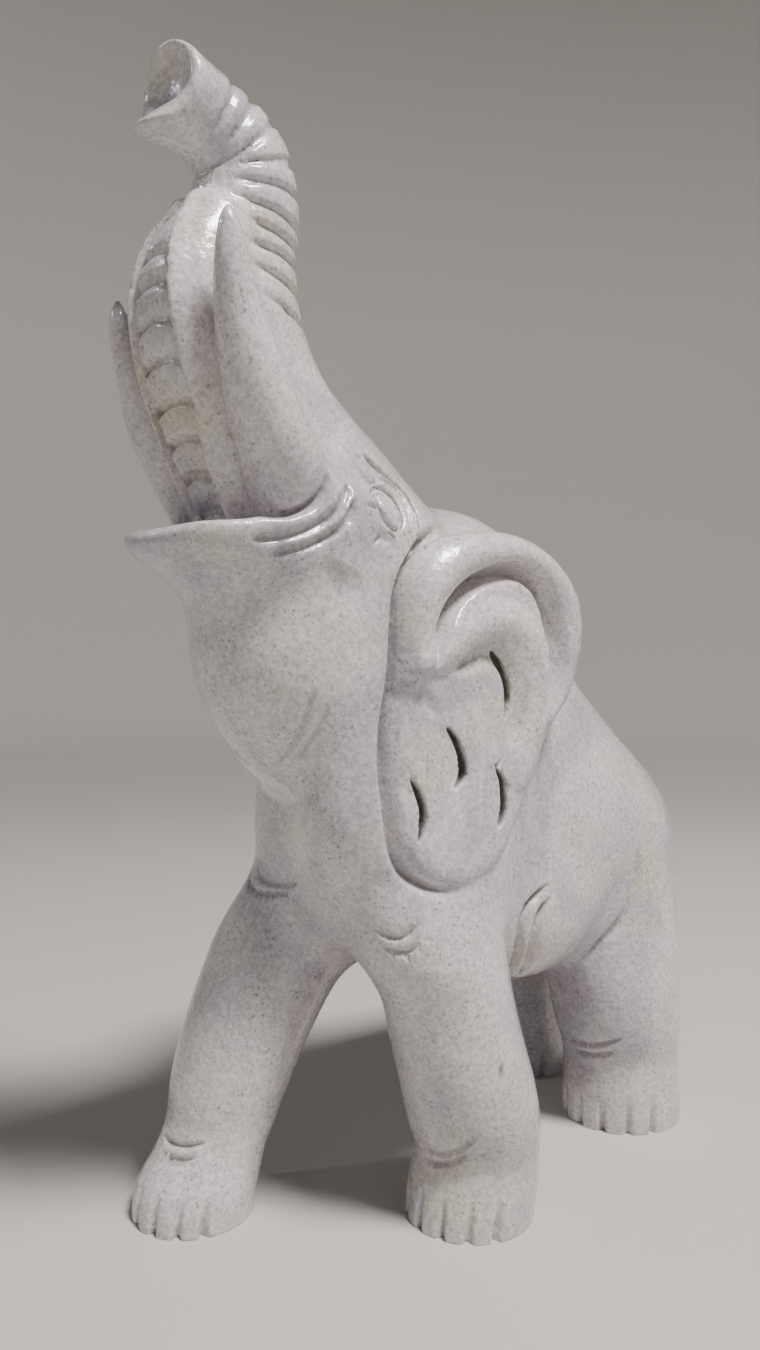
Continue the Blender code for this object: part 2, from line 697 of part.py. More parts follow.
def trunk_panel(run, angle, x, width, depth):
    """A flat sunk panel up the front of the trunk, with a raised edge on each side and a row of pads."""
    across = np.abs(x)
    half = np.interp(run, PANEL_RUN, PANEL_HALF)
    fall = depth * (np.sqrt(np.maximum(1.0 - (x / width) ** 2, 0.0)) - np.sqrt(1.0 - (half / width) ** 2))
    sink = -(PANEL_DEPTH + np.maximum(fall, 0.0)) * np.clip((half - across) / PANEL_WALL + 0.5, 0.0, 1.0)
    edge = PANEL_EDGE_RISE * bump(across - half - PANEL_EDGE_OUT, PANEL_EDGE_HALF)
    pads = PAD_DEPTH * np.clip(half - PAD_INSET - across, 0.0, 1.0)
    arch = PAD_ARCH * np.minimum(across / half, 1.0) ** 2
    for groove in PAD_GROOVES:
        place = run - groove + arch
        pads = pads * (1.0 - bump(place, np.where(place > 0, PAD_ABOVE, PAD_BELOW)))
    return np.where(angle > math.pi / 2, sink + edge + pads, 0.0)


BODY = Sweep(BODY_LINE, end=20)
HEAD = Sweep(HEAD_LINE, end=10)
TRUNK = Sweep(TRUNK_LINE, end=3, relief=trunk_rings)
TRUNK_FRONT = Sweep(TRUNK_FRONT_LINE, end=8, relief=trunk_panel)
JAW = Column(JAW_LEVELS)
LEFT_TUSK = Column(LEFT_TUSK_LEVELS)
RIGHT_TUSK = Column(RIGHT_TUSK_LEVELS)
LEGS = {
    "left front": Column(LEFT_FRONT_LEVELS, toes=True),
    "right front": Column(RIGHT_FRONT_LEVELS, toes=True),
    "left hind": Column(LEFT_HIND_LEVELS, toes=True),
    "right hind": Column(RIGHT_HIND_LEVELS, toes=True),
}


def lip_height(y):
    """Height of the rim of the lower lip."""
    return through(*np.transpose(LIP_RIM), y)


def cut_jaw(x, y, z):
    """The lower jaw, cut off along the rim of the lip."""
    return -smooth_min(-JAW(x, y, z), lip_height(y) - z, LIP_ROUNDING)


def hollow_mouth(x, y, z):
    """The hollow behind the lip, shallower towards the spout."""
    wall = JAW(x, y, z) + LIP_WALL
    deep = np.clip((y - SPOUT_Y) / SPOUT_SLOPE + SPOUT_DEPTH, SPOUT_DEPTH, MOUTH_DEPTH)
    floor = lip_height(y) - deep - z
    return np.maximum(np.maximum(wall, floor), y - MOUTH_BACK)


def past_trunk_end(x, y, z):
    """Everything in front of the end of the trunk."""
    levels = np.array(TRUNK_END, float)
    end = through(levels[:, 0], levels[:, 1:], z)
    return y - end[..., 0] - end[..., 1] * (x / TRUNK_END_HALF) ** 2


def beside_tusk(x, y, z):
    """The fillet round a tusk: wide where it runs into the face behind, narrow in front and above."""
    middle = LEFT_TUSK.at(z)[1]
    behind = np.clip((y - middle - TUSK_FILLET_FROM) / TUSK_FILLET_OVER, 0.0, 1.0)
    return TUSK_FILLET + behind * np.interp(z, TUSK_FILLET_Z, TUSK_FILLET_BACK)


def ear_face(y, z):
    """How far the face of the ear stands from the middle, before its carving."""
    fall = np.maximum((EAR_FALL_FROM - y) / EAR_FALL_OVER, 0.0)
    return np.interp(z, EAR_FACE_Z, EAR_FACE_X) + EAR_FLARE * (y - EAR_MIDDLE) - EAR_FALL * fall**2


def ear_plane(y, z, lift):
    """The face of the ear where its lower part is lifted off the shoulder."""
    return ear_face(y, z) + lift * np.clip((EAR_LIFT_BELOW - z) / EAR_LIFT_OVER, 0.0, 1.0)


def ear_edge(y, z):
    """Distance in side view to the edge of the ear, negative inside it."""
    outline = smooth_line(EAR_EDGE, 110, closed=True)
    distance = line_distance(outline, y, z)
    return np.where(inside(outline, y, z), -distance, distance)


def ear_relief(y, z):
    """Height of the carving over the face of the ear."""
    height = 0.0
    for rise, half_width, taper, line in EAR_CARVING:
        height = height + rise * stroke(smooth_line(line, 20), half_width, taper, y, z)
    for line in SLITS:
        trough = smooth_line(line, 12) - (TROUGH_SHIFT, 0.0)
        height = height - TROUGH_DEPTH * stroke(trough, TROUGH_HALF, TROUGH_TAPER, y, z)
    return height


def ear(side, shift, lift):
    """An ear laid against the head and shoulder, with its rolled rim, folds and slits."""

    def distance(x, y, z):
        y = y - shift
        edge = ear_edge(y, z) + EAR_ROUNDING
        plain = ear_plane(y, z, lift)
        face = plain + ear_relief(y, z)
        slab = np.maximum(side * x - face, plain - EAR_THICKNESS - side * x) + EAR_ROUNDING
        corner = np.hypot(np.maximum(edge, 0.0), np.maximum(slab, 0.0))
        return corner + np.minimum(np.maximum(edge, slab), 0.0) - EAR_ROUNDING

    (front, bottom), (back, top) = np.min(EAR_EDGE, axis=0), np.max(EAR_EDGE, axis=0)
    faces = [ear_face(y, z) for y, z in EAR_EDGE]
    rise = max(carving[0] for carving in EAR_CARVING)
    left, right = sorted((side * (min(faces) - EAR_THICKNESS), side * (max(faces) + lift + rise)))
    return Shape(distance, (left, front + shift, bottom), (right, back + shift, top))


# Side of each ear, how far back it lies and how far its lower part stands out
EARS = ((1, 0.0, 0.0), (-1, RIGHT_EAR_SHIFT, RIGHT_EAR_LIFT))


def below_ground(x, y, z):
    """Everything a little below the soles, which are cut level when the surface is a mesh."""
    return z + SOLE_DEPTH + 0 * (x + y)


def tube(line, radii):
    """A round bar along a line in space, its radius changing along it."""

    def shape(x, y, z):
        distance = np.inf
        for a, b, r_a, r_b in zip(line[:-1], line[1:], radii[:-1], radii[1:]):
            step = b - a
            offsets = (x - a[0], y - a[1], z - a[2])
            share = np.clip(sum(o * s for o, s in zip(offsets, step)) / (step @ step), 0.0, 1.0)
            gap = np.sqrt(sum((o - share * s) ** 2 for o, s in zip(offsets, step)))
            distance = np.minimum(distance, gap - r_a - share * (r_b - r_a))
        return distance

    return Shape(shape, line.min(axis=0) - radii.max(), line.max(axis=0) + radii.max())


def add_tail(block):
    """The tail, lying against the rump with a tuft at its end."""
    stations = smooth_line(TAIL, 16)
    block.add(tube(block.settle(stations[:, :3]), stations[:, 3]), TAIL_FILLET)


def add_masses(block):
    """The rounded masses of body, head and legs."""
    block.add(BODY, BODY_FILLET)
    block.add(HEAD, HEAD_FILLET)
    block.add(ball(*CROWN), CROWN_FILLET)
    for side in (1, -1):
        block.add(ball(*SHOULDER, side), BODY_FILLET)
        block.add(ball(*HIP, side), BODY_FILLET)
        block.add(ball(*BELLY_FOLD, side), BODY_FILLET)
        block.add(ball(*NECK_SWELL, side, 0.0 if side > 0 else RIGHT_EAR_SHIFT), BODY_FILLET)
    block.add(Shape(cut_jaw, JAW.low, JAW.high), JAW_FILLET)
    for leg in LEGS.values():
        block.add(leg, LEG_FILLET)
    add_tail(block)


def add_trunk(block):
    """The mouth, and the trunk and tusks rising out of it."""
    block.carve(Shape(hollow_mouth, JAW.low, JAW.high), CUT_ROUNDING)
    block.add(TRUNK, TRUNK_FILLET)
    block.add(TRUNK_FRONT, TRUNK_FRONT_FILLET)
    block.add(LEFT_TUSK, beside_tusk)
    block.add(RIGHT_TUSK, beside_tusk)
    low = (-TRUNK_END_HALF, block.low[1], TRUNK_END[0][0] + MARGIN)
    high = (TRUNK_END_HALF, TRUNK_END_BACK - MARGIN, block.high[2])
    block.carve(Shape(past_trunk_end, low, high), TIP_ROUNDING)
    block.carve(ball(*NOSTRIL), TIP_ROUNDING)


def cut_slits(block, side, shift, lift):
    """The slits in an ear, cut below its face."""
    outside = max(block.high[0], -block.low[0])
    for line in SLITS:
        line = smooth_line(line, 12) + (shift, 0.0)
        low, high = line.min(axis=0) - SLIT_HALF, line.max(axis=0) + SLIT_HALF
        left, right = sorted((0.0, side * outside))
        cut, x, y, z = block.window((left, *low), (right, *high))
        over_floor = side * x - ear_plane(y - shift, z, lift) + SLIT_REACH
        slit = SLIT_DEPTH * stroke(line, SLIT_HALF, SLIT_TAPER, y, z)
        block.distance[cut] += slit * np.clip(over_floor, 0.0, 1.0)


def add_ears(block):
    """Both ears, each in a groove cut along its front and lower edge, with its slits."""
    for side, shift, lift in EARS:
        shape = ear(side, shift, lift)
        cut, x, y, z = block.window(shape.low - MARGIN, shape.high + MARGIN)
        front = np.clip((shift + EAR_GROOVE_BACK - y) / EAR_GROOVE_FADE, 0.15, 1.0)
        front = front * np.interp(z, EAR_GROOVE_Z, EAR_GROOVE_SHARE)
        groove = bump(ear_edge(y - shift, z) - EAR_GROOVE_OUT, EAR_GROOVE_HALF)
        block.distance[cut] += EAR_GROOVE_DEPTH * front * groove
        block.add(shape, EAR_FILLET)
        cut_slits(block, side, shift, lift)


def cut_creases(block):
    """Lines round the eye, the folds of the skin and the creases of the legs."""
    for depth, half_width, taper, least_x, line in SIDE_LINES:
        block.engrave_sides(line, depth, half_width, taper, least_x)
    for name, creases in LEG_CREASES.items():
        for depth, half_width, *where in creases:
            block.engrave(LEGS[name].crease(*where), depth, half_width)
    for depth, half_width, line in JOWL_CREASES:
        for side in (1, -1):
            block.engrave(smooth_line(line, 10) * (side, 1, 1), depth, half_width)
    for depth, half_width, line in CHEST_CREASES:
        block.engrave(smooth_line(line, 10), depth, half_width)


def carve_elephant(step):
    """The whole statue as a block of distances."""
    block = Block([BODY, HEAD, TRUNK, TRUNK_FRONT, *LEGS.values(), *[ear(*where) for where in EARS]], step)
    add_masses(block)
    add_trunk(block)
    add_ears(block)
    cut_creases(block)
    block.carve(Shape(below_ground, (*block.low[:2], 0.0), (*block.high[:2], 0.0)), CUT_ROUNDING)
    return block


def marble():
    """Polished marble, pale warm grey with a waxed shine."""
    material = bpy.data.materials.new("polished marble")
    material.use_nodes = True
    shader = material.node_tree.nodes["Principled BSDF"]
    shader.inputs["Base Color"].default_value = MARBLE_COLOUR
    shader.inputs["Roughness"].default_value = MARBLE_ROUGHNESS
    return material


def thin_out(obj, triangles):
    """Brings the mesh down to about the number of triangles, keeping the grooves and edges."""
    present = sum(len(face.vertices) - 2 for face in obj.data.polygons)
    thinner = obj.modifiers.new("thin out", "DECIMATE")
    thinner.ratio = triangles / present
    thinner.use_collapse_triangulate = True
    depsgraph = bpy.context.evaluated_depsgraph_get()
    thinned = bpy.data.meshes.new_from_object(obj.evaluated_get(depsgraph))
    thinned.name = obj.data.name
    obj.modifiers.clear()
    obj.data = thinned


def drop_pockets(obj):
    """Fills pockets left inside the stone, by keeping only the outer shell."""
    shape = bmesh.new()
    shape.from_mesh(obj.data)
    unseen = set(shape.verts)
    shells = []
    while unseen:
        shell = {unseen.pop()}
        edge_of_shell = set(shell)
        while edge_of_shell:
            around = {edge.other_vert(vertex) for vertex in edge_of_shell for edge in vertex.link_edges}
            edge_of_shell = around - shell
            shell |= edge_of_shell
        unseen -= shell
        shells.append(shell)
    outer = max(shells, key=len)
    bmesh.ops.delete(shape, geom=[vertex for vertex in shape.verts if vertex not in outer], context="VERTS")
    shape.to_mesh(obj.data)
    shape.free()


def bring_to_size(obj):
    """Brings the figure to the statue's height, with the middle of its box over the origin."""
    points = np.array([vertex.co for vertex in obj.data.vertices])
    low, high = points.min(axis=0), points.max(axis=0)
    middle = (low + high) / 2.0
    size = STATUE_HEIGHT / (high[2] - low[2])
    obj.data.vertices.foreach_set("co", ((points - (*middle[:2], low[2])) * size).ravel())
    obj.data.update()


def level_soles(obj):
    """Cuts the feet off level on the ground, and closes the soles."""
    shape = bmesh.new()
    shape.from_mesh(obj.data)
    everything = list(shape.verts) + list(shape.edges) + list(shape.faces)
    bmesh.ops.bisect_plane(shape, geom=everything, plane_co=(0, 0, 0), plane_no=(0, 0, 1), clear_inner=True)
    bmesh.ops.remove_doubles(shape, verts=shape.verts, dist=0.02)
    soles = bmesh.ops.holes_fill(shape, edges=[edge for edge in shape.edges if edge.is_boundary], sides=0)
    bmesh.ops.triangulate(shape, faces=soles["faces"])
    bmesh.ops.recalc_face_normals(shape, faces=shape.faces)
    shape.to_mesh(obj.data)
    shape.free()


def elephant(collection):
    """The statue as one carved piece."""
    block = carve_elephant(GRID_STEP)
    obj = bpy.data.objects.new("elephant", block.mesh("elephant"))
    collection.objects.link(obj)
    thin_out(obj, TRIANGLES)
    drop_pockets(obj)
    level_soles(obj)
    bring_to_size(obj)
    obj.data.materials.append(marble())
    obj.data.shade_smooth()
    return obj


def main():
    for obj in list(bpy.data.objects):
        bpy.data.objects.remove(obj, do_unlink=True)
    collection = bpy.data.collections.new("marble elephant statue")
    bpy.context.scene.collection.children.link(collection)
    return elephant(collection)


if __name__ == "__main__":
    main()
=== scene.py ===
"""Looks of the marble elephant ornament: the finely carved stone, its polished marble, and the stage.

The stone is carved the way the plain solid is, on a finer grid, so it keeps the solid's form. The finest
cuts are then pressed into the mesh along lines: the slits in the ears, the lids and brows, and the creases
of jaw, chest and legs. Sizes and places of the carving are in units of about a millimetre: x to the
elephant's left, y to its back and z up from the ground. The finished stone is brought to the frame's size.
"""

import math

import bmesh
import bpy
import numpy as np
import openvdb
from bpy.props import FloatProperty, FloatVectorProperty, IntProperty, PointerProperty
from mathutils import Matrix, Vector


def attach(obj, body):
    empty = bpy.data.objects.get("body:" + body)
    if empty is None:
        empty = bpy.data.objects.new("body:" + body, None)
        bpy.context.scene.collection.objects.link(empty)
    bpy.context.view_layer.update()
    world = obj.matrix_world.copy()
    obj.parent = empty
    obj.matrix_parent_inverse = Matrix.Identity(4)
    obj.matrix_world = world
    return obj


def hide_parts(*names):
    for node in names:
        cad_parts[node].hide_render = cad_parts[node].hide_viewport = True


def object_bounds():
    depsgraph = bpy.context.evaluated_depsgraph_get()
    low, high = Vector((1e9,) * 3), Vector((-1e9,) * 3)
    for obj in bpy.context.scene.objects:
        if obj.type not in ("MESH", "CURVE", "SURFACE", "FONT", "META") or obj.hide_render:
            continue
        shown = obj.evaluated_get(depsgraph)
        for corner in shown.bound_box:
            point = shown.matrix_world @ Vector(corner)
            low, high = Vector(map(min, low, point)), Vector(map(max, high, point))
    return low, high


bl_info = {
    "name": "Marble elephant statue",
    "version": (1, 0, 0),
    "blender": (4, 5, 0),
    "location": "View3D > Sidebar > Elephant",
    "description": "Carves a polished marble elephant with a raised trunk and sets it on a plain stage",
    "category": "Add Mesh",
}

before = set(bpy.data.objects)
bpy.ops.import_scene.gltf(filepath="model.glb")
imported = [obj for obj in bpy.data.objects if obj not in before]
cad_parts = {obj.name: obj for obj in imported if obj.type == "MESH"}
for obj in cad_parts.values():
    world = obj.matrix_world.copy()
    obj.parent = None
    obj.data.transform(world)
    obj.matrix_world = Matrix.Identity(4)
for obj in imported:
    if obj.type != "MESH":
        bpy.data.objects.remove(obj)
CAD_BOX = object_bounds()
NODE = "elephant"
PIECE = "carved_elephant"

# Room in the block round the figure, how far a fillet can reach from a shape, how much stone is left below
# the ground until the soles are cut level, and how near to each other corners at that cut are welded
BLOCK_EDGE = 4.0
MARGIN = 16.0
SOLE_DEPTH = 0.6
SOLE_WELD = 0.02

# Straight pieces that each kind of smooth line is made of
EAR_EDGE_PIECES = 110
CARVING_PIECES = 20
SLIT_PIECES = 12
LINE_PIECES = 16
CREASE_PIECES = 10
LEG_CREASE_PIECES = 8
TAIL_PIECES = 16

# How points near the stone are moved onto its surface: rounds, and the least steepness that is reckoned with
SETTLE_ROUNDS = 8
SETTLE_STEEPNESS = 0.2

# How wide the fillets are where each mass meets the rest, and how far the edges of a cut are rounded
BODY_FILLET = 10.0
HEAD_FILLET = 14.0
CROWN_FILLET = 12.0
JAW_FILLET = 8.0
LEG_FILLET = 8.0
TAIL_FILLET = 3.0
TRUNK_FILLET = 3.0
TRUNK_FRONT_FILLET = 2.0
EAR_FILLET = 1.0
CUT_ROUNDING = 1.0

# Middle line and size of each mass along it: y, z, half depth behind, half depth in front, half width
BODY_LINE = [
    (-32, 110, 38, 38, 32),
    (-8, 107, 43, 44, 36),
    (26, 100, 46, 45, 39),
    (58, 96, 46, 42, 39.5),
    (79, 88.5, 37, 37, 36),
]
HEAD_LINE = [
    (50, 96, 34, 30, 33),
    (34, 112, 42, 34, 34),
    (14, 132, 46, 40, 32),
    (-6, 152, 44, 44, 30.5),
    (-26, 170, 32, 40, 29.5),
    (-44, 186, 26, 26, 27.5),
    (-58, 201, 22, 20, 22),
]
TRUNK_LINE = [
    (-34, 178, 29, 24, 24),
    (-48, 190, 29, 22, 23.5),
    (-59, 203, 26, 19, 20.5),
    (-68, 220, 20, 16, 17),
    (-72, 238, 15.5, 14, 15),
    (-72, 254, 14.5, 14, 13.5),
    (-70.5, 267, 14.5, 14.5, 12.5),
    (-73, 278, 14, 12.5, 11.5),
    (-81, 284.5, 11, 12, 10),
    (-89, 287.5, 9.4, 12.5, 10.4),
    (-95, 288.3, 10.2, 13.2, 11.8),
    (-104, 289, 10.4, 13.2, 12.2),
]
TRUNK_FRONT_LINE = [
    (-60, 176, 12, 14, 13),
    (-71, 194, 12, 14, 14),
    (-79, 212, 12, 15.5, 15),
    (-84, 228, 12, 17, 15),
    (-85, 238, 12, 17.5, 14.5),
    (-84, 247, 11, 15.5, 13.5),
    (-80.5, 258, 9, 11, 12),
]

# Ovals stacked up the height, for the jaw, tusks and legs: z, x, y, half width, half depth
JAW_LEVELS = [
    (112, 0, -30, 12, 14),
    (120, 0, -35, 21, 25),
    (131, 0, -39, 26, 32),
    (142, 0, -42, 28, 36.5),
    (153, 0, -44.5, 28.5, 38),
    (163, 0, -46, 28, 38),
    (169, 0, -48, 27, 39),
    (174, 0, -51, 26.8, 43),
    (178, 0, -55, 27.2, 46),
    (183, 0, -59, 28, 45),
    (190, 0, -61.5, 28.5, 44),
    (204, 0, -62, 28.5, 44),
]
LEFT_TUSK_LEVELS = [
    (180, 14.5, -66, 9.5, 10),
    (190, 16, -69.5, 10, 10.5),
    (198, 17.5, -73, 10.6, 10.6),
    (213.5, 19, -81.5, 8.6, 9.2),
    (234.4, 20.6, -90, 5.2, 5.7),
    (243.5, 21.6, -92.4, 3.8, 4.1),
    (248.5, 22, -93.3, 2.8, 3.0),
    (252, 22.3, -93.9, 1.7, 1.8),
    (254.2, 22.4, -94, 0.5, 0.5),
]
RIGHT_TUSK_LEVELS = [
    (180, -14.5, -66, 9.5, 10),
    (188, -16, -69, 10, 10.3),
    (196, -17.5, -73, 10.2, 10.4),
    (208, -19, -81, 8.6, 9),
    (224, -20.5, -88.5, 5.4, 5.8),
    (234, -21.5, -92, 3.4, 4),
    (240, -22, -93.5, 2, 2),
    (243, -22, -93.8, 0.5, 0.5),
]
LEFT_FRONT_LEVELS = [
    (-8, 28.4, -15, 17.4, 17.4),
    (1, 28.4, -14.5, 17.8, 17.8),
    (9, 28.4, -13, 18, 18),
    (17, 28.4, -11, 17.4, 17.4),
    (26, 28.4, -12.7, 18.4, 18.6),
    (37, 28, -15.2, 18.6, 18.9),
    (49, 27, -18.5, 18.2, 18.6),
    (61, 26, -21.3, 18, 18.5),
    (75, 24, -25, 18.5, 21),
    (92, 20, -25, 16, 20),
    (104, 16, -24, 9, 12),
]
RIGHT_FRONT_LEVELS = [
    (-8, -28.4, -66, 16, 16.4),
    (2.4, -28.4, -66, 16.6, 17),
    (8.5, -28.4, -64.5, 16.6, 17.2),
    (15.4, -28.4, -60.5, 15.4, 16),
    (22.5, -28.4, -56.5, 15.6, 15.8),
    (33, -28, -53, 17, 17.5),
    (43, -27.5, -49, 18, 19),
    (53, -27, -43.5, 18.6, 21),
    (63, -26, -37.5, 19, 23.5),
    (75, -24, -32.5, 18.5, 24),
    (90, -20, -26, 15, 22),
    (104, -16, -20, 8, 12),
]
LEFT_HIND_LEVELS = [
    (-8, 25.6, 72, 19, 19),
    (6, 25.6, 72, 19.4, 19.8),
    (14.6, 25.6, 71.5, 18.8, 19.4),
    (23, 25.6, 71.3, 19, 19.6),
    (32, 25.6, 69.5, 20.2, 21.5),
    (44, 25, 68, 21, 23),
    (60, 23, 69, 21, 26),
    (82, 19, 71, 19, 26),
    (104, 14, 70, 9, 14),
]
RIGHT_HIND_LEVELS = [
    (-8, -26, 86, 18.6, 18.8),
    (6, -26, 86, 19, 19.5),
    (14.6, -26, 85.5, 18.4, 18.8),
    (23, -26, 84, 18.6, 19),
    (32, -26, 82, 19.8, 20.5),
    (44, -25, 79, 21, 23),
    (60, -23, 76, 21, 26),
    (82, -19, 74, 19, 25),
    (104, -14, 72, 9, 14),
]

# Rounded masses: centre and radii. All but the crown are there on both sides.
CROWN = ((0, 6, 172), (25, 30, 26))
SHOULDER = ((19, -20, 92), (19, 24, 30))
HIP = ((20, 70, 84), (20, 25.5, 33))
NECK_SWELL = ((13, -42, 118), (16, 18, 26))
BELLY_FOLD = ((22, 20, 78), (16.5, 26, 20.5))

# Rim of the lower lip in side view, from the spout back to the corner of the mouth: y, z. Behind it the
# mouth is hollow, back to where the trunk stands.
LIP_RIM = [
    (-106, 180),
    (-101.5, 182.6),
    (-96.5, 184.2),
    (-87.5, 185.2),
    (-76, 188),
    (-68, 190.8),
    (-63, 193),
    (-58, 193.5),
    (-50, 191),
    (-40, 186),
]
LIP_WALL = 4.5
LIP_ROUNDING = 3.5
MOUTH_BACK = -72.0
MOUTH_DEPTH = 9.0
# The hollow gets shallower towards the spout: where it is shallowest, its depth there, and the length over
# which it gets deeper by one
SPOUT_Y = -100.0
SPOUT_DEPTH = 3.0
SPOUT_SLOPE = 2.2

# Fillet round a tusk: narrow in front, and how much wider behind at each height. It widens from this place
# before the tusk's middle line, over this length.
TUSK_FILLET = 0.7
TUSK_FILLET_BACK = (11.0, 8.0, 0.0)
TUSK_FILLET_Z = (190, 215, 236)
TUSK_FILLET_FROM = -3.5
TUSK_FILLET_OVER = 8.0

# Grooves between the rings of the trunk: how far along it they lie, depth, half width above and below, and
# how far they slant from the back of the trunk to its front
RING_GROOVES = (74.5, 81.7, 87.8, 92.8, 98.2, 104.8, 110.4, 116.2, 121.3, 126.3)
RING_DEPTH = 1.6
RING_ABOVE = 1.1
RING_BELOW = 2.0
RING_SLANT = 8.0
# Where along the trunk the slant ends, and the angle from its back at which the grooves run out
RING_SLANT_RUN = (74, 88)
RING_END_RUN = (74, 94)
RING_END_ANGLE = (1.9, 2.6)
RING_END_FADE = 0.6
# The rings past the bend are softer
RING_SOFT_RUN = (102, 112)
RING_SOFT_SHARE = (1.0, 0.65)

# Panel up the front of the trunk, a little nearer its right side: its half width along it, how sunk it is,
# the raised edge beside it and the pads on it, with the grooves between them
PANEL_RUN = (20, 32, 46, 62, 70, 78, 85, 92)
PANEL_HALF = (6.2, 6.9, 8.9, 8.5, 7.8, 5.7, 3.8, 0.5)
PANEL_MOST = 0.86
PANEL_SHIFT = -0.7
PANEL_DEPTH = 2.3
PANEL_WALL = 0.9
PANEL_EDGE_RISE = 0.8
PANEL_EDGE_OUT = 1.6
PANEL_EDGE_HALF = 2.6
PAD_GROOVES = (21.5, 30.0, 38.5, 47.0, 55.7, 63.3, 69.9, 75.8)
PAD_ARCH = 2.0
PAD_BELOW = 1.1
PAD_ABOVE = 2.4
PAD_DEPTH = 1.6
PAD_INSET = 0.3

# End of the trunk in side view, from the finger below to its top: z, y and how far its sides lie back
TRUNK_END = [
    (270, -106, 8),
    (276.5, -103.6, 8),
    (279, -100.5, 6),
    (283, -96.5, 1.5),
    (287.5, -94.4, 0),
    (293, -94.6, 0),
    (298, -96.6, 1),
    (302, -98, 1),
]
TRUNK_END_HALF = 12.0
TRUNK_END_BACK = -82.0
NOSTRIL = ((0.6, -95, 289.4), (6.8, 2.8, 6.4))
TIP_ROUNDING = 3.2

# Ear in side view: y, z round its edge, starting at the top and going forward
EAR_EDGE = [
    (-12.8, 187.7), (-22.1, 186.7), (-34.3, 182), (-41.2, 174), (-43.8, 164.4), (-44.4, 154.3),
    (-45.4, 144.2), (-46.6, 134), (-46.8, 122), (-45.8, 112), (-43.6, 103), (-40, 96.8),
    (-34, 93.6), (-25.6, 93.5), (-17.2, 96.8), (-10.6, 104.1), (-3.4, 116), (3.9, 128.4),
    (12.2, 142.2), (17.7, 153.6), (18.4, 162.2), (15.9, 172.7), (9.1, 180.9), (0.5, 185.6),
]
# How far the face of the ear stands from the middle at each height, how it flares to the back, and how
# it falls towards the head along its front edge
EAR_FACE_Z = (90, 110, 130, 150, 170, 190)
EAR_FACE_X = (40, 38, 36.5, 36, 36, 35)
EAR_FLARE = 0.2
EAR_MIDDLE = -20.0
EAR_FALL = 3.0
EAR_FALL_FROM = -28.0
EAR_FALL_OVER = 20.0
EAR_THICKNESS = 7.5
EAR_ROUNDING = 3.2
# The groove in the head and neck along the front and lower edge of the ear: depth, half width, how far out
# from the edge it lies, how it fades to the back, and its share of the depth at each height
EAR_GROOVE_DEPTH = 5.6
EAR_GROOVE_HALF = 3.0
EAR_GROOVE_OUT = 0.6
EAR_GROOVE_BACK = -22.0
EAR_GROOVE_FADE = 14.0
EAR_GROOVE_LEAST = 0.15
EAR_GROOVE_Z = (95, 130)
EAR_GROOVE_SHARE = (0.4, 1.0)
# The right ear lies further back, and its lower part is lifted off the shoulder of the leg that is stepped
# forward: how far, below which height, and over what length it gets there
RIGHT_EAR_SHIFT = 13.0
RIGHT_EAR_LIFT = 3.0
EAR_LIFT_BELOW = 150.0
EAR_LIFT_OVER = 50.0

# Carving on the ear: height over the face (minus is cut in), half width, length over which its ends rise
# to the full size, and the line it follows
EAR_CARVING = [
    # Rolled rim, the groove inside it and the soft edge of the lobe
    (3.4, 7.2, 12, [
        (-42, 140), (-39.3, 162.9), (-35.4, 171.5), (-27.1, 178.4), (-15.4, 182.2), (-3.5, 181.6),
        (6.3, 176.1), (11.8, 167.8), (12.4, 158.3), (9.8, 148.9), (2, 133),
    ]),
    (-5.2, 3.2, 16, [
        (-36.5, 150), (-34, 157), (-31.4, 164.4), (-28, 168.4), (-23.2, 172.2), (-18.1, 174.7),
        (-11.7, 176.6), (-7.3, 177.1), (-3.1, 176.1), (1.1, 173.1), (4.1, 168.5), (5.8, 163.9), (6.9, 158.3),
        (6.8, 152.6), (4, 143), (0, 135),
    ]),
    (0.8, 4.2, 12, [
        (-43.3, 138), (-43, 118), (-40.4, 104.6), (-35.4, 99), (-28, 97.5), (-20, 100.5), (-10, 112),
    ]),
    # Inner fold, the hollow under it and the crease where the lobe starts
    (2.4, 7.4, 9, [
        (-44, 150), (-35.8, 152.6), (-26.4, 158.8), (-14.9, 163.4), (-5.3, 161), (1, 152.8), (0.5, 141.7),
        (-4, 129), (-9, 115),
    ]),
    (-2.0, 4.4, 7, [
        (-29, 149), (-21.4, 152.4), (-17.7, 153.5), (-12.8, 152.8), (-9, 149.5), (-7.4, 144), (-8, 136),
        (-10, 129),
    ]),
    (-1.3, 3.6, 6, [(-52, 140), (-45.9, 143), (-41.5, 144), (-37, 142), (-33, 137)]),
    # Ridge down the middle of the lobe
    (2.0, 4.4, 12, [(-21.9, 142), (-21.5, 131.5), (-21.9, 124.5), (-22.8, 117.6), (-23.7, 103)]),
]
# Slits in the ear, pressed into the mesh, and the shallow trough that is carved before each of them
SLITS = [
    [(-14.6, 155.2), (-10.7, 151.3), (-8.7, 147.6), (-8, 143), (-9.7, 135.8)],
    [(-31.4, 135.4), (-27.8, 131.2), (-26.4, 127.2), (-26.5, 122.8), (-29.6, 118.6)],
    [(-43, 122.8), (-40.1, 118.2), (-39.1, 114.3), (-39.3, 111), (-42, 105.8)],
    [(-15.2, 124.1), (-12.8, 120.1), (-12.5, 116.6), (-12.8, 112.5), (-15.8, 107.6)],
]
SLIT_DEPTH = 3.8
SLIT_HALF = 1.35
SLIT_TAPER = 5.0
TROUGH_DEPTH = 0.9
TROUGH_HALF = 4.2
TROUGH_SHIFT = 2.4
TROUGH_TAPER = 7.0

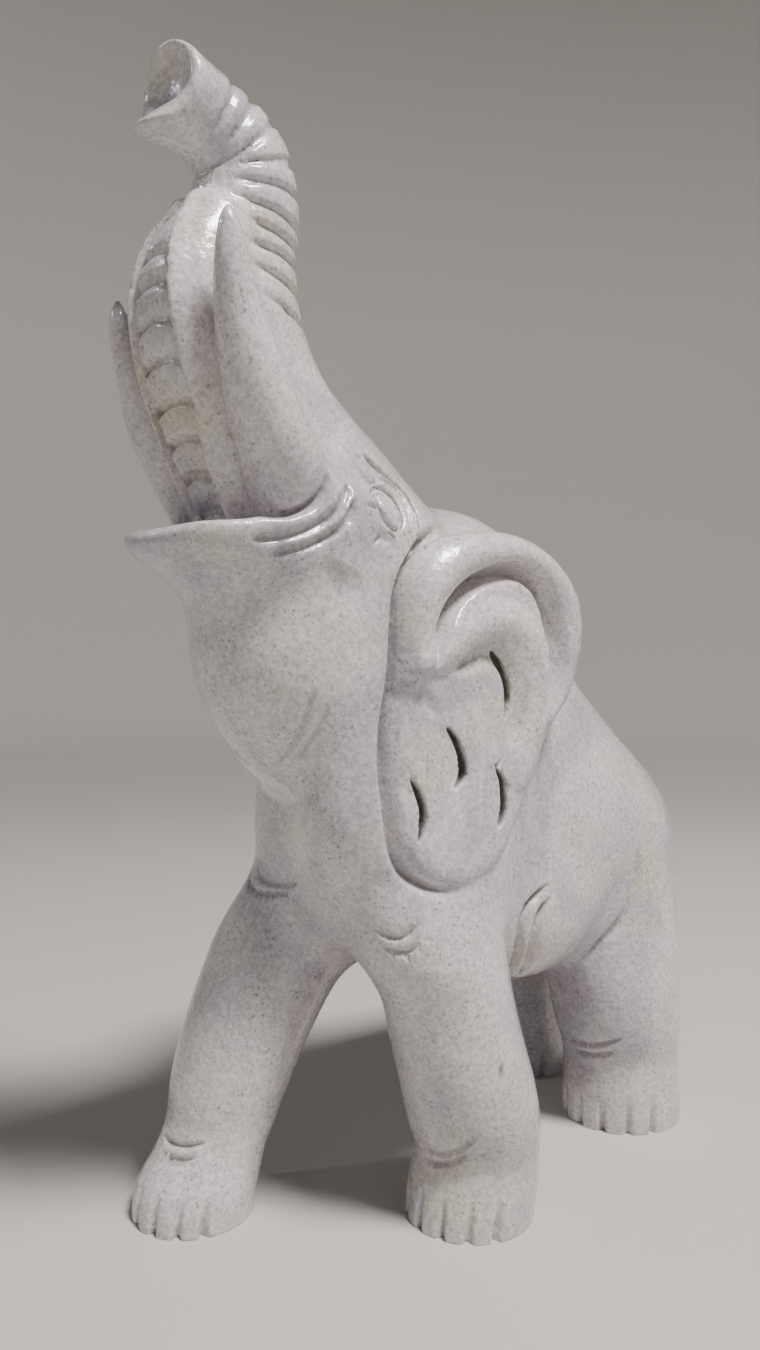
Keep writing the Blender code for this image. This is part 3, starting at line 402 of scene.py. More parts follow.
# Lines cut into both sides of the head and body in side view: depth, half width, taper of the ends, least
# x and the line of y, z
SIDE_LINES = [
    # Lids and brow
    (1.0, 1.3, 4, 15, [(-47, 196.6), (-50.4, 194.6), (-50.6, 190.4), (-48, 186.8), (-45, 184.8)]),
    (1.0, 1.3, 4, 15, [
        (-49, 196.8), (-46, 196.4), (-42.2, 193.8), (-41.6, 190), (-43.2, 186.4), (-46, 184.8),
    ]),
    (0.9, 1.3, 4, 15, [
        (-50, 204.6), (-44.7, 201.5), (-39, 199.1), (-35, 195.8), (-35.5, 189), (-35.6, 181),
    ]),
    # Rim of the lip where it runs up beside the tusk
    (1.5, 1.6, 9, 20, [
        (-84, 185.6), (-78.1, 186.6), (-74.5, 188.2), (-71.4, 190.6), (-69.2, 194), (-69, 198),
    ]),
    # Folds behind the front leg
    (1.9, 1.6, 6, 20, [(10, 88.6), (6, 86), (2, 83), (0.6, 78.6), (1.4, 72.6), (4, 66), (9.1, 58.8)]),
    (2.1, 1.7, 6, 20, [(11, 84.4), (8, 82.2), (6.4, 79), (6, 74.4), (7, 68.4), (9, 63.8), (13.5, 58)]),
    # Edge of the thigh
    (1.7, 2.8, 14, 20, [
        (56.2, 95), (57, 86.8), (56.6, 80), (54.3, 73.7), (50.2, 68.1), (46.4, 63.5), (43, 56),
    ]),
]

# Creases round the legs, pressed into the mesh: angle from the front and height at both ends, and how far
# the middle hangs below them
LEG_CREASE_DEPTH = 1.3
LEG_CREASE_HALF = 1.25
LEG_CREASES = {
    "left front": [
        (3, 84, 42, 86.2, 3.2), (6, 79.8, 40, 81.2, 2.2), (-23, 21.4, 45, 29, 3.6), (-21, 17.6, 37, 24, 2.4),
    ],
    "right front": [(-22, 21, 38, 22.4, 1), (-14, 17.9, 36, 18.9, 0.8)],
    "left hind": [(-26, 28.4, 39, 33.2, 2.2), (-20, 24.6, 34, 28.6, 1.6)],
    "right hind": [(-33, 33, 25, 29, 2.5), (-37, 29, 20, 26, 2.5)],
}
# Folds at the corner of the mouth, cut into both sides: depth, half width and the line of x, y, z
JOWL_CREASES = [
    (1.9, 1.8, [
        (29, -60.6, 198), (29.2, -61.8, 195), (30, -64, 191.6), (29.6, -67.4, 187.4), (27.6, -71, 184.6),
        (25.4, -76, 182.4), (23.6, -82, 180.8), (21, -87, 180.4),
    ]),
    (1.8, 1.8, [
        (29.2, -60.4, 192), (29, -62.6, 187), (28.4, -66.4, 183.2), (26.2, -71, 180.4), (24, -76.6, 178.4),
        (21.6, -81.6, 177.2),
    ]),
]
# Taper of the ends of such a cut, and how deep its passes start, as shares of its half width
CUT_TAPER = 3.0
CUT_PASSES = (0.0, 0.6)

# Creases under both sides of the jaw and across the chest, pressed into the mesh: depth, half width and the
# line of x, y, z
JAW_CREASES = [
    (1.1, 1.2, [(22, -67, 146), (18, -67, 138), (14.5, -66.7, 133), (9.7, -66.3, 129), (3.4, -66, 124.8)]),
    (0.9, 1.1, [(22.6, -63, 141.8), (19.9, -63.8, 135.9), (16.4, -64.5, 131.7), (10.4, -65.2, 126.8)]),
]
CHEST_CREASES = [
    (1.1, 1.2, [
        (-22.6, -47.6, 94.4), (-20.6, -48.8, 91.6), (-15.8, -49.3, 90.2), (-9, -49.5, 90.4),
        (-1, -51.3, 92.5),
    ]),
    (1.1, 1.2, [
        (-27.2, -46.6, 91.6), (-24.4, -48.6, 88.4), (-19, -50, 87.2), (-12.7, -49.1, 87.4), (-6, -49.4, 89),
    ]),
]

# Lids, lashes and brows, pressed into the mesh on both sides: depth, half width and the line of x, y, z
FINE_LINES = [
    # Lids
    (0.7, 0.8, [
        (27, -47, 196.6), (28, -50.4, 194.6), (28, -50.6, 190.4), (28, -48, 186.8), (28, -45, 184.8),
    ]),
    (0.7, 0.8, [
        (27, -49, 196.8), (25, -46, 196.4), (25, -42.2, 193.8), (27, -41.6, 190), (28, -43.2, 186.4),
        (28, -46, 184.8),
    ]),
    # Lashes before and below the eye
    (1.0, 1.2, [(28, -56, 191), (28, -51, 190.3)]),
    (1.0, 1.0, [(28.6, -53.6, 181), (28.8, -50.4, 183.7), (28.6, -46, 184.2)]),
    # Brow, running down behind the eye to the ear
    (0.8, 0.9, [
        (22, -52, 205.5), (25, -52.4, 201), (26, -51, 198.2), (24, -44, 199), (23.5, -38.4, 196.6),
        (27, -37.8, 191), (28.2, -39.8, 186.1), (28.6, -39.4, 182), (29, -37.6, 178.4),
    ]),
    (0.8, 0.9, [
        (21.5, -49.6, 205.6), (22, -44.7, 201.5), (22.5, -39, 199.1), (23.8, -34.8, 195.8),
        (26.3, -34.6, 191), (26.9, -35, 185.4), (29.3, -34.2, 180.6),
    ]),
]
# How far the ends of these lines and of pressed creases fade, and how far from all of them the mesh is
# refined, in each of two rounds
LINE_FADE = 1.2
CREASE_FADE = 5.0
REFINE_REACH = (2.2, 1.6)

# Grooves between the toes: their number, the angle of the outer ones from the front, their height, depth and
# half width, and how they fade up the foot
TOE_GROOVES = 6
TOE_SPREAD = 62.0
TOE_HEIGHT = 10.5
TOE_DEPTH = 2.5
TOE_HALF_WIDTH = 1.6
TOE_FADE = 0.7

# Tail lying against the rump: x, y, z and radius down its length
TAIL = [
    (0, 92, 124, 0.5),
    (0, 101, 118, 2.6),
    (0, 108, 103, 4.0),
    (1, 108, 86, 3.6),
    (2, 105, 70, 3.2),
    (2, 103, 58, 4.8),
    (2, 100, 47, 4.0),
    (2, 98, 39, 1.0),
]

# Hollows hold a little old wax and dust, and are darkened with painted shade as well. Their measure is kept
# on the mesh under this name. It is smoothed in some rounds, and scaled up. In the pressed lines the wax and
# painted shade start at one depth and grow over another.
HOLLOW = "hollow"
HOLLOW_ROUNDS = 6
HOLLOW_GAIN = 2.5
WAX_AND_SHADE_FROM = 0.6
WAX_AND_SHADE_OVER = 2.0
# Colour of the wax and the painted shade in the hollows
WAX_AND_SHADE_COLOUR = "#5a564b"

# Metres in a millimetre, the unit of the marble's patterns
MILLIMETRE = 0.001
# The dark grain grown into the left foreleg: its place and half sizes in millimetres, and its colour
INCLUSION_PLACE = (44.7, -23.7, 46.2)
INCLUSION_SIZE = (1.6, 1.2, 2.4)
INCLUSION_COLOUR = "#5d5a5c"

# The camera, solved from the feet, belly and ears in the photo: where it stands, in metres, the direction
# it looks round from the elephant's front, how far down it looks, and its lens on a 36 mm sensor
CAMERA_PLACE = (0.20822, -0.24552, 0.15350)
CAMERA_TURN = 43.0
CAMERA_DIP = 0.82
CAMERA_LENS = 28.0
CAMERA_SENSOR = 36.0

# The stage, in metres: what the lights point at, each light's place, size and colour, the colour of the even
# sky, and the straight pieces in the paper's curve and round the floor
STAGE_MIDDLE = (0.0, 0.0, 0.14)
KEY_PLACE = (0.6, -0.04, 1.28)
KEY_SIZE = 0.3
KEY_COLOUR = "#fffaf6"
FILL_PLACE = (-0.65, -0.55, 0.8)
FILL_SIZE = 0.045
FILL_COLOUR = "#f2f5ff"
SKY_COLOUR = "#eef0f2"
COVE_STEPS = 24
ROUND_STEPS = 96


def smooth_min(a, b, reach):
    """The nearer of two distances, rounded off where they differ by less than reach."""
    mix = np.maximum(reach - np.abs(a - b), 0.0) / reach
    return np.minimum(a, b) - mix * mix * reach * 0.25


def bump(distance, half_width):
    """A smooth rise to 1 at distance 0 that ends level at the half width."""
    share = np.minimum(np.abs(distance) / half_width, 1.0)
    return (1.0 - share * share) ** 2


def through(knots, values, at):
    """A smooth curve through the values at the knots, read at the given places and flat past its ends."""
    knots = np.asarray(knots, float)
    values = np.asarray(values, float)
    slopes = np.gradient(values, knots, axis=0)
    place = np.clip(at, knots[0], knots[-1])
    i = np.clip(np.searchsorted(knots, place, side="right") - 1, 0, len(knots) - 2)
    span = knots[i + 1] - knots[i]
    t = (place - knots[i]) / span
    if values.ndim > 1:
        t = t[..., None]
        span = span[..., None]
    rise = 3 * t**2 - 2 * t**3
    start = (t**3 - 2 * t**2 + t) * span
    end = (t**3 - t**2) * span
    return values[i] * (1 - rise) + values[i + 1] * rise + slopes[i] * start + slopes[i + 1] * end


def smooth_line(points, pieces, closed=False):
    """A smooth line through the points, as short straight pieces."""
    points = np.array(points, float)
    if closed:
        points = np.vstack([points[-3:], points, points[:4]])
    knots = np.concatenate([[0.0], np.cumsum(np.linalg.norm(np.diff(points, axis=0), axis=1))])
    low, high = (knots[3], knots[-4]) if closed else (knots[0], knots[-1])
    return through(knots, points, np.linspace(low, high, pieces + 1))


def to_piece(a, b, *where):
    """The nearest place on a straight piece, as a share of the way along it, and its distance squared."""
    step = b - a
    offsets = [w - c for w, c in zip(where, a)]
    share = np.clip(sum(o * s for o, s in zip(offsets, step)) / (step @ step), 0.0, 1.0)
    return share, sum((o - share * s) ** 2 for o, s in zip(offsets, step))


def line_distance(line, *where):
    """Distance to a line of straight pieces, in the plane or in space."""
    nearest = np.inf
    for a, b in zip(line[:-1], line[1:]):
        nearest = np.minimum(nearest, to_piece(a, b, *where)[1])
    return np.sqrt(nearest)


def stroke(line, half_width, taper, *where):
    """A rise to 1 along a line, which narrows and fades to nothing over the taper at both of its ends."""
    distance = line_distance(line, *where)
    start, end = (np.sqrt(sum((w - c) ** 2 for w, c in zip(where, tip))) for tip in (line[0], line[-1]))
    full = np.clip((np.minimum(start, end) - distance) / taper, 0.0, 1.0)
    full = full * (2.0 - full)
    return full * bump(distance, half_width * (0.5 + 0.5 * full))


def inside(outline, y, z):
    """Which points of the plane lie inside a closed outline."""
    odd = np.zeros(np.broadcast(y, z).shape, bool)
    for (ay, az), (by, bz) in zip(outline[:-1], outline[1:]):
        if az != bz:
            crossing = ((az > z) != (bz > z)) & (y < ay + (z - az) / (bz - az) * (by - ay))
            odd ^= crossing
    return odd


def from_centre(*parts):
    """Roughly the distance to a rounded shape, from pairs of an offset and the radius along it."""
    share = np.sqrt(sum((offset / radius) ** 2 for offset, radius in parts))
    radius = np.sqrt(sum(offset**2 for offset, _ in parts))
    return radius - radius / np.maximum(share, 1e-4)


class Shape:
    """A solid given by the distance to its surface, and the box it lies in."""

    def __init__(self, distance, low, high):
        self.distance = distance
        self.low = np.array(low, float)
        self.high = np.array(high, float)

    def __call__(self, x, y, z):
        return self.distance(x, y, z)


def ball(centre, radii, side=1, shift=0.0):
    """An ellipsoid, on the left side, or mirrored to the right and shifted back."""
    middle = np.array([side * centre[0], centre[1] + shift, centre[2]])

    def distance(*at):
        return from_centre(*[(a - m, radius) for a, m, radius in zip(at, middle, radii)])

    return Shape(distance, middle - radii, middle + radii)


class Sweep:
    """Ovals strung along a line in the plane of symmetry, with an optional relief on them."""

    def __init__(self, stations, end, relief=None, pieces=72):
        stations = np.array(stations, float)
        knots = np.concatenate([[0.0], np.cumsum(np.hypot(*np.diff(stations[:, :2], axis=0).T))])
        self.run = np.linspace(0.0, knots[-1], pieces + 1)
        self.line = through(knots, stations[:, :2], self.run)
        self.sizes = through(knots, stations[:, 2:], self.run)
        self.end = end
        self.relief = relief
        reach = self.sizes[:, :2].max(axis=1, keepdims=True) + end
        width = self.sizes[:, 2].max()
        self.low = np.array([-width, *(self.line - reach).min(axis=0)])
        self.high = np.array([width, *(self.line + reach).max(axis=0)])

    def locate(self, y, z):
        """For points of the plane: how far along the line, how far behind it, and how far past its end."""
        nearest = np.full(np.broadcast(y, z).shape, np.inf)
        run, behind, past = (np.zeros_like(nearest) for _ in range(3))
        last = len(self.line) - 2
        for i, (start, stop) in enumerate(zip(self.line[:-1], self.line[1:])):
            length = np.hypot(*(stop - start))
            ty, tz = (stop - start) / length
            dy, dz = y - start[0], z - start[1]
            along = dy * ty + dz * tz
            share = np.clip(along / length, 0.0, 1.0)
            side = dy * tz - dz * ty
            over = along - share * length
            gap = side**2 + over**2
            nearer = gap < nearest
            ended = (over < 0) & (i == 0) | (over > 0) & (i == last)
            nearest = np.where(nearer, gap, nearest)
            run = np.where(nearer, self.run[i] + share * (self.run[i + 1] - self.run[i]), run)
            behind = np.where(nearer, np.where(ended, side, np.copysign(np.sqrt(gap), side)), behind)
            past = np.where(nearer, np.where(ended, over, 0.0), past)
        return run, behind, past

    def __call__(self, x, y, z):
        run, behind, past = self.locate(y, z)
        back, front, width = (np.interp(run, self.run, size) for size in self.sizes.T)
        depth = np.where(behind > 0, back, front)
        distance = from_centre((x, width), (behind, depth), (past, self.end))
        if self.relief:
            angle = np.arctan2(np.abs(x) / width, behind / depth)
            distance = distance - self.relief(run, angle, x, width, depth)
        return distance


class Column:
    """Ovals stacked up the height, with toes cut into the foot where asked."""

    def __init__(self, levels, toes=False):
        self.levels = np.array(levels, float)
        self.toes = toes
        z, x, y, width, depth = self.levels.T
        self.low = np.array([(x - width).min(), (y - depth).min(), z[0]])
        self.high = np.array([(x + width).max(), (y + depth).max(), z[-1]])

    def at(self, z):
        """Centre and half sizes at a height."""
        return np.moveaxis(through(self.levels[:, 0], self.levels[:, 1:], z), -1, 0)

    def __call__(self, x, y, z):
        cx, cy, width, depth = self.at(z)
        distance = from_centre((x - cx, width), (y - cy, depth))
        if self.toes:
            distance = distance + toe_grooves(x - cx, y - cy, width, z)
        low, high = self.levels[0, 0], self.levels[-1, 0]
        return np.maximum(distance, np.maximum(low - z, z - high))

    def crease(self, angle_a, z_a, angle_b, z_b, hang):
        """A line round the front of the column, as points in space."""
        share = np.linspace(0.0, 1.0, LEG_CREASE_PIECES + 1)
        z = z_a + (z_b - z_a) * share - hang * 4 * share * (1 - share)
        angle = np.radians(angle_a + (angle_b - angle_a) * share)
        cx, cy, width, depth = self.at(z)
        return np.stack([cx + width * np.sin(angle), cy - depth * np.cos(angle), z], axis=1)


class Block:
    """The block of stone: a grid of distances to the carved surface, negative inside the stone."""

    def __init__(self, shapes, step):
        self.low = np.min([shape.low for shape in shapes], axis=0) - BLOCK_EDGE
        self.high = np.max([shape.high for shape in shapes], axis=0) + BLOCK_EDGE
        self.step = step
        self.ticks = [np.arange(a, b, step, dtype=np.float32) for a, b in zip(self.low, self.high)]
        self.far = float(np.linalg.norm(self.high - self.low))
        self.distance = np.full([len(ticks) for ticks in self.ticks], self.far, np.float32)

    def window(self, low, high):
        """The part of the grid between two corners, and its x, y and z."""
        cut = tuple(slice(*np.searchsorted(t, (a, b))) for t, a, b in zip(self.ticks, low, high))
        x, y, z = (ticks[part] for ticks, part in zip(self.ticks, cut))
        return cut, x[:, None, None], y[None, :, None], z[None, None, :]

    def add(self, shape, blend):
        """Adds a shape, with a fillet where it meets the stone."""
        cut, x, y, z = self.window(shape.low - MARGIN, shape.high + MARGIN)
        reach = blend(x, y, z) if callable(blend) else blend
        self.distance[cut] = smooth_min(self.distance[cut], shape(x, y, z), reach)

    def carve(self, shape, blend):
        """Cuts a shape away, with a rounded edge."""
        cut, x, y, z = self.window(shape.low - MARGIN, shape.high + MARGIN)
        self.distance[cut] = -smooth_min(-self.distance[cut], shape(x, y, z), blend)

    def sample(self, points):
        """The distance at points between those of the grid."""
        place = (points - self.low) / self.step
        corner = np.floor(place).astype(int)
        share = place - corner
        total = 0.0
        for i, j, k in np.ndindex(2, 2, 2):
            weight = np.prod(np.where((i, j, k), share, 1.0 - share), axis=-1)
            total = total + weight * self.distance[tuple((corner + (i, j, k)).T)]
        return total

    def outward(self, points):
        """The way out of the stone at points, as long as the distance changes per unit."""
        reach = np.eye(3) * self.step
        slope = [(self.sample(points + r) - self.sample(points - r)) / (2 * self.step) for r in reach]
        return np.stack(slope, axis=-1)

    def settle(self, points):
        """Moves points to the nearest place on the carved surface."""
        points = np.array(points, float)
        for _ in range(SETTLE_ROUNDS):
            slope = self.outward(points)
            steep = np.maximum((slope**2).sum(axis=-1, keepdims=True), SETTLE_STEEPNESS)
            points = points - self.sample(points)[:, None] * slope / steep
        return points

    def engrave(self, line, depth, half_width):
        """Cuts a groove into the surface along a line near it, in passes that go deeper."""
        line = self.settle(line)
        outward = self.outward(line)
        outward /= np.linalg.norm(outward, axis=1, keepdims=True)
        for sunk in CUT_PASSES:
            deeper = line - outward * sunk * half_width
            cut, x, y, z = self.window(deeper.min(axis=0) - half_width, deeper.max(axis=0) + half_width)
            self.distance[cut] += depth * stroke(deeper, half_width, CUT_TAPER, x, y, z)

    def engrave_sides(self, line, depth, half_width, taper, least_x):
        """Cuts a line drawn in side view into the stone on both sides, beyond the least x."""
        line = smooth_line(line, LINE_PIECES)
        low, high = line.min(axis=0) - half_width, line.max(axis=0) + half_width
        for left, right in ((least_x, self.high[0]), (self.low[0], -least_x)):
            cut, x, y, z = self.window((left, *low), (right, *high))
            self.distance[cut] += depth * stroke(line, half_width, taper, y, z)

    def mesh(self, name):
        """The carved surface as a mesh, still in units."""
        grid = openvdb.FloatGrid(background=self.far)
        grid.copyFromArray(self.distance)
        points, quads = grid.convertToQuads(isovalue=0.0)
        points = points * self.step + self.low
        mesh = bpy.data.meshes.new(name)
        mesh.from_pydata(points.tolist(), [], quads.tolist())
        return mesh


def toe_grooves(x, y, width, z):
    """Grooves up from the sole between the toes, widest at the ground."""
    angle = np.arctan2(x, -y)
    depth = 0.0
    for toe in np.linspace(-1.0, 1.0, TOE_GROOVES):
        across = (angle - math.radians(toe * TOE_SPREAD)) * width
        depth = depth + bump(across, TOE_HALF_WIDTH)
    return depth * TOE_DEPTH * np.clip(1.0 - z / TOE_HEIGHT, 0.0, 1.0) ** TOE_FADE


def trunk_rings(run, angle, *_):
    """Grooves round the back and sides of the trunk, each steep above and easing out below."""
    slant = np.interp(run, RING_SLANT_RUN, (RING_SLANT, 0.0))
    place = run - slant * (2.0 * angle / math.pi - 1.0)
    depth = 0.0
    for groove in RING_GROOVES:
        half = np.where(place > groove, RING_ABOVE, RING_BELOW)
        depth = np.maximum(depth, bump(place - groove, half))
    depth = depth * np.interp(run, RING_SOFT_RUN, RING_SOFT_SHARE)
    end = np.interp(run, RING_END_RUN, RING_END_ANGLE)
    return -RING_DEPTH * depth * np.clip((end - angle) / RING_END_FADE, 0.0, 1.0)


def trunk_panel(run, angle, x, width, depth):
    """A flat sunk panel up the front of the trunk, with a raised edge on each side and a row of pads."""
    across = np.abs(x - PANEL_SHIFT)
    half = np.minimum(np.interp(run, PANEL_RUN, PANEL_HALF), PANEL_MOST * width)
    fall = depth * (np.sqrt(np.maximum(1.0 - (x / width) ** 2, 0.0)) - np.sqrt(1.0 - (half / width) ** 2))
    sink = -(PANEL_DEPTH + np.maximum(fall, 0.0)) * np.clip((half - across) / PANEL_WALL + 0.5, 0.0, 1.0)
    edge = PANEL_EDGE_RISE * bump(across - half - PANEL_EDGE_OUT, PANEL_EDGE_HALF)
    pads = PAD_DEPTH * np.clip(half - PAD_INSET - across, 0.0, 1.0)
    arch = PAD_ARCH * np.minimum(across / half, 1.0) ** 2
    for groove in PAD_GROOVES:
        place = run - groove + arch
        pads = pads * (1.0 - bump(place, np.where(place > 0, PAD_ABOVE, PAD_BELOW)))
    return np.where(angle > math.pi / 2, sink + edge + pads, 0.0)


BODY = Sweep(BODY_LINE, end=20)
HEAD = Sweep(HEAD_LINE, end=10)
TRUNK = Sweep(TRUNK_LINE, end=3, relief=trunk_rings)
TRUNK_FRONT = Sweep(TRUNK_FRONT_LINE, end=8, relief=trunk_panel)
JAW = Column(JAW_LEVELS)
LEFT_TUSK = Column(LEFT_TUSK_LEVELS)
RIGHT_TUSK = Column(RIGHT_TUSK_LEVELS)
LEGS = {
    "left front": Column(LEFT_FRONT_LEVELS, toes=True),
    "right front": Column(RIGHT_FRONT_LEVELS, toes=True),
    "left hind": Column(LEFT_HIND_LEVELS, toes=True),
    "right hind": Column(RIGHT_HIND_LEVELS, toes=True),
}


def lip_height(y):
    """Height of the rim of the lower lip."""
    return through(*np.transpose(LIP_RIM), y)


def cut_jaw(x, y, z):
    """The lower jaw, cut off along the rim of the lip."""
    return -smooth_min(-JAW(x, y, z), lip_height(y) - z, LIP_ROUNDING)


def hollow_mouth(x, y, z):
    """The hollow behind the lip, shallower towards the spout."""
    wall = JAW(x, y, z) + LIP_WALL
    deep = np.clip((y - SPOUT_Y) / SPOUT_SLOPE + SPOUT_DEPTH, SPOUT_DEPTH, MOUTH_DEPTH)
    floor = lip_height(y) - deep - z
    return np.maximum(np.maximum(wall, floor), y - MOUTH_BACK)


def past_trunk_end(x, y, z):
    """Everything in front of the end of the trunk."""
    levels = np.array(TRUNK_END, float)
    end = through(levels[:, 0], levels[:, 1:], z)
    return y - end[..., 0] - end[..., 1] * (x / TRUNK_END_HALF) ** 2


def beside_tusk(x, y, z):
    """The fillet round a tusk: wide where it runs into the face behind, narrow in front and above."""
    middle = LEFT_TUSK.at(z)[1]
    behind = np.clip((y - middle - TUSK_FILLET_FROM) / TUSK_FILLET_OVER, 0.0, 1.0)
    return TUSK_FILLET + behind * np.interp(z, TUSK_FILLET_Z, TUSK_FILLET_BACK)


def ear_face(y, z):
    """How far the face of the ear stands from the middle, before its carving."""
    fall = np.maximum((EAR_FALL_FROM - y) / EAR_FALL_OVER, 0.0)
    return np.interp(z, EAR_FACE_Z, EAR_FACE_X) + EAR_FLARE * (y - EAR_MIDDLE) - EAR_FALL * fall**2


def ear_plane(y, z, lift):
    """The face of the ear where its lower part is lifted off the shoulder."""
    return ear_face(y, z) + lift * np.clip((EAR_LIFT_BELOW - z) / EAR_LIFT_OVER, 0.0, 1.0)


def ear_edge(y, z):
    """Distance in side view to the edge of the ear, negative inside it."""
    outline = smooth_line(EAR_EDGE, EAR_EDGE_PIECES, closed=True)
    distance = line_distance(outline, y, z)
    return np.where(inside(outline, y, z), -distance, distance)


def ear_relief(y, z):
    """Height of the carving over the face of the ear."""
    height = 0.0
    for rise, half_width, taper, line in EAR_CARVING:
        height = height + rise * stroke(smooth_line(line, CARVING_PIECES), half_width, taper, y, z)
    for line in SLITS:
        trough = smooth_line(line, SLIT_PIECES) - (TROUGH_SHIFT, 0.0)
        height = height - TROUGH_DEPTH * stroke(trough, TROUGH_HALF, TROUGH_TAPER, y, z)
    return height


def ear(side, shift, lift):
    """An ear laid against the head and shoulder, with its rolled rim, folds and troughs."""

    def distance(x, y, z):
        y = y - shift
        edge = ear_edge(y, z) + EAR_ROUNDING
        plain = ear_plane(y, z, lift)
        face = plain + ear_relief(y, z)
        slab = np.maximum(side * x - face, plain - EAR_THICKNESS - side * x) + EAR_ROUNDING
        corner = np.hypot(np.maximum(edge, 0.0), np.maximum(slab, 0.0))
        return corner + np.minimum(np.maximum(edge, slab), 0.0) - EAR_ROUNDING

    (front, bottom), (back, top) = np.min(EAR_EDGE, axis=0), np.max(EAR_EDGE, axis=0)
    faces = [ear_face(y, z) for y, z in EAR_EDGE]
    rise = max(carving[0] for carving in EAR_CARVING)
    left, right = sorted((side * (min(faces) - EAR_THICKNESS), side * (max(faces) + lift + rise)))
    return Shape(distance, (left, front + shift, bottom), (right, back + shift, top))


# Side of each ear, how far back it lies and how far its lower part stands out
EARS = ((1, 0.0, 0.0), (-1, RIGHT_EAR_SHIFT, RIGHT_EAR_LIFT))


def below_ground(x, y, z):
    """Everything a little below the soles, which are cut level when the surface is a mesh."""
    return z + SOLE_DEPTH + 0 * (x + y)


def tube(line, radii):
    """A round bar along a line in space, its radius changing along it."""

    def shape(x, y, z):
        distance = np.inf
        for a, b, r_a, r_b in zip(line[:-1], line[1:], radii[:-1], radii[1:]):
            share, gap = to_piece(a, b, x, y, z)
            distance = np.minimum(distance, np.sqrt(gap) - r_a - share * (r_b - r_a))
        return distance

    return Shape(shape, line.min(axis=0) - radii.max(), line.max(axis=0) + radii.max())


def add_tail(block):
    """The tail, lying against the rump with a tuft at its end."""
    stations = smooth_line(TAIL, TAIL_PIECES)
    block.add(tube(block.settle(stations[:, :3]), stations[:, 3]), TAIL_FILLET)


def add_masses(block):
    """The rounded masses of body, head and legs."""
    block.add(BODY, BODY_FILLET)
    block.add(HEAD, HEAD_FILLET)
    block.add(ball(*CROWN), CROWN_FILLET)
    for side in (1, -1):
        block.add(ball(*SHOULDER, side), BODY_FILLET)
        block.add(ball(*HIP, side), BODY_FILLET)
        block.add(ball(*BELLY_FOLD, side), BODY_FILLET)
        block.add(ball(*NECK_SWELL, side, 0.0 if side > 0 else RIGHT_EAR_SHIFT), BODY_FILLET)
    block.add(Shape(cut_jaw, JAW.low, JAW.high), JAW_FILLET)
    for leg in LEGS.values():
        block.add(leg, LEG_FILLET)
    add_tail(block)


def add_trunk(block):
    """The mouth, and the trunk and tusks rising out of it."""
    block.carve(Shape(hollow_mouth, JAW.low, JAW.high), CUT_ROUNDING)
    block.add(TRUNK, TRUNK_FILLET)
    block.add(TRUNK_FRONT, TRUNK_FRONT_FILLET)
    block.add(LEFT_TUSK, beside_tusk)
    block.add(RIGHT_TUSK, beside_tusk)
    low = (-TRUNK_END_HALF, block.low[1], TRUNK_END[0][0] + MARGIN)
    high = (TRUNK_END_HALF, TRUNK_END_BACK - MARGIN, block.high[2])
    block.carve(Shape(past_trunk_end, low, high), TIP_ROUNDING)
    block.carve(ball(*NOSTRIL), TIP_ROUNDING)


def add_ears(block):
    """Both ears, each in a groove cut along its front and lower edge."""
    for side, shift, lift in EARS:
        shape = ear(side, shift, lift)
        cut, x, y, z = block.window(shape.low - MARGIN, shape.high + MARGIN)
        front = np.clip((shift + EAR_GROOVE_BACK - y) / EAR_GROOVE_FADE, EAR_GROOVE_LEAST, 1.0)
        front = front * np.interp(z, EAR_GROOVE_Z, EAR_GROOVE_SHARE)
        groove = bump(ear_edge(y - shift, z) - EAR_GROOVE_OUT, EAR_GROOVE_HALF)
        block.distance[cut] += EAR_GROOVE_DEPTH * front * groove
        block.add(shape, EAR_FILLET)


def cut_creases(block):
    """The lines cut into both sides, and the folds at the corners of the mouth."""
    for depth, half_width, taper, least_x, line in SIDE_LINES:
        block.engrave_sides(line, depth, half_width, taper, least_x)
    for depth, half_width, line in JOWL_CREASES:
        for side in (1, -1):
            block.engrave(smooth_line(line, CREASE_PIECES) * (side, 1, 1), depth, half_width)


def carve_elephant(step):
    """The whole statue as a block of distances."""
    block = Block([BODY, HEAD, TRUNK, TRUNK_FRONT, *LEGS.values(), *[ear(*where) for where in EARS]], step)
    add_masses(block)
    add_trunk(block)
    add_ears(block)
    cut_creases(block)
    block.carve(Shape(below_ground, (*block.low[:2], 0.0), (*block.high[:2], 0.0)), CUT_ROUNDING)
    return block


def thin_out(obj, triangles):
    """Brings the mesh down to about the number of triangles, keeping the grooves and edges."""
    present = sum(len(face.vertices) - 2 for face in obj.data.polygons)
    thinner = obj.modifiers.new("thin out", "DECIMATE")
    thinner.ratio = triangles / present
    thinner.use_collapse_triangulate = True
    depsgraph = bpy.context.evaluated_depsgraph_get()
    thinned = bpy.data.meshes.new_from_object(obj.evaluated_get(depsgraph))
    thinned.name = obj.data.name
    obj.modifiers.clear()
    obj.data = thinned


def drop_pockets(obj):
    """Fills pockets left inside the stone, by keeping only the outer shell."""
    shape = bmesh.new()
    shape.from_mesh(obj.data)
    unseen = set(shape.verts)
    shells = []
    while unseen:
        shell = {unseen.pop()}
        edge_of_shell = set(shell)
        while edge_of_shell:
            around = {edge.other_vert(vertex) for vertex in edge_of_shell for edge in vertex.link_edges}
            edge_of_shell = around - shell
            shell |= edge_of_shell
        unseen -= shell
        shells.append(shell)
    outer = max(shells, key=len)
    bmesh.ops.delete(shape, geom=[vertex for vertex in shape.verts if vertex not in outer], context="VERTS")
    shape.to_mesh(obj.data)
    shape.free()


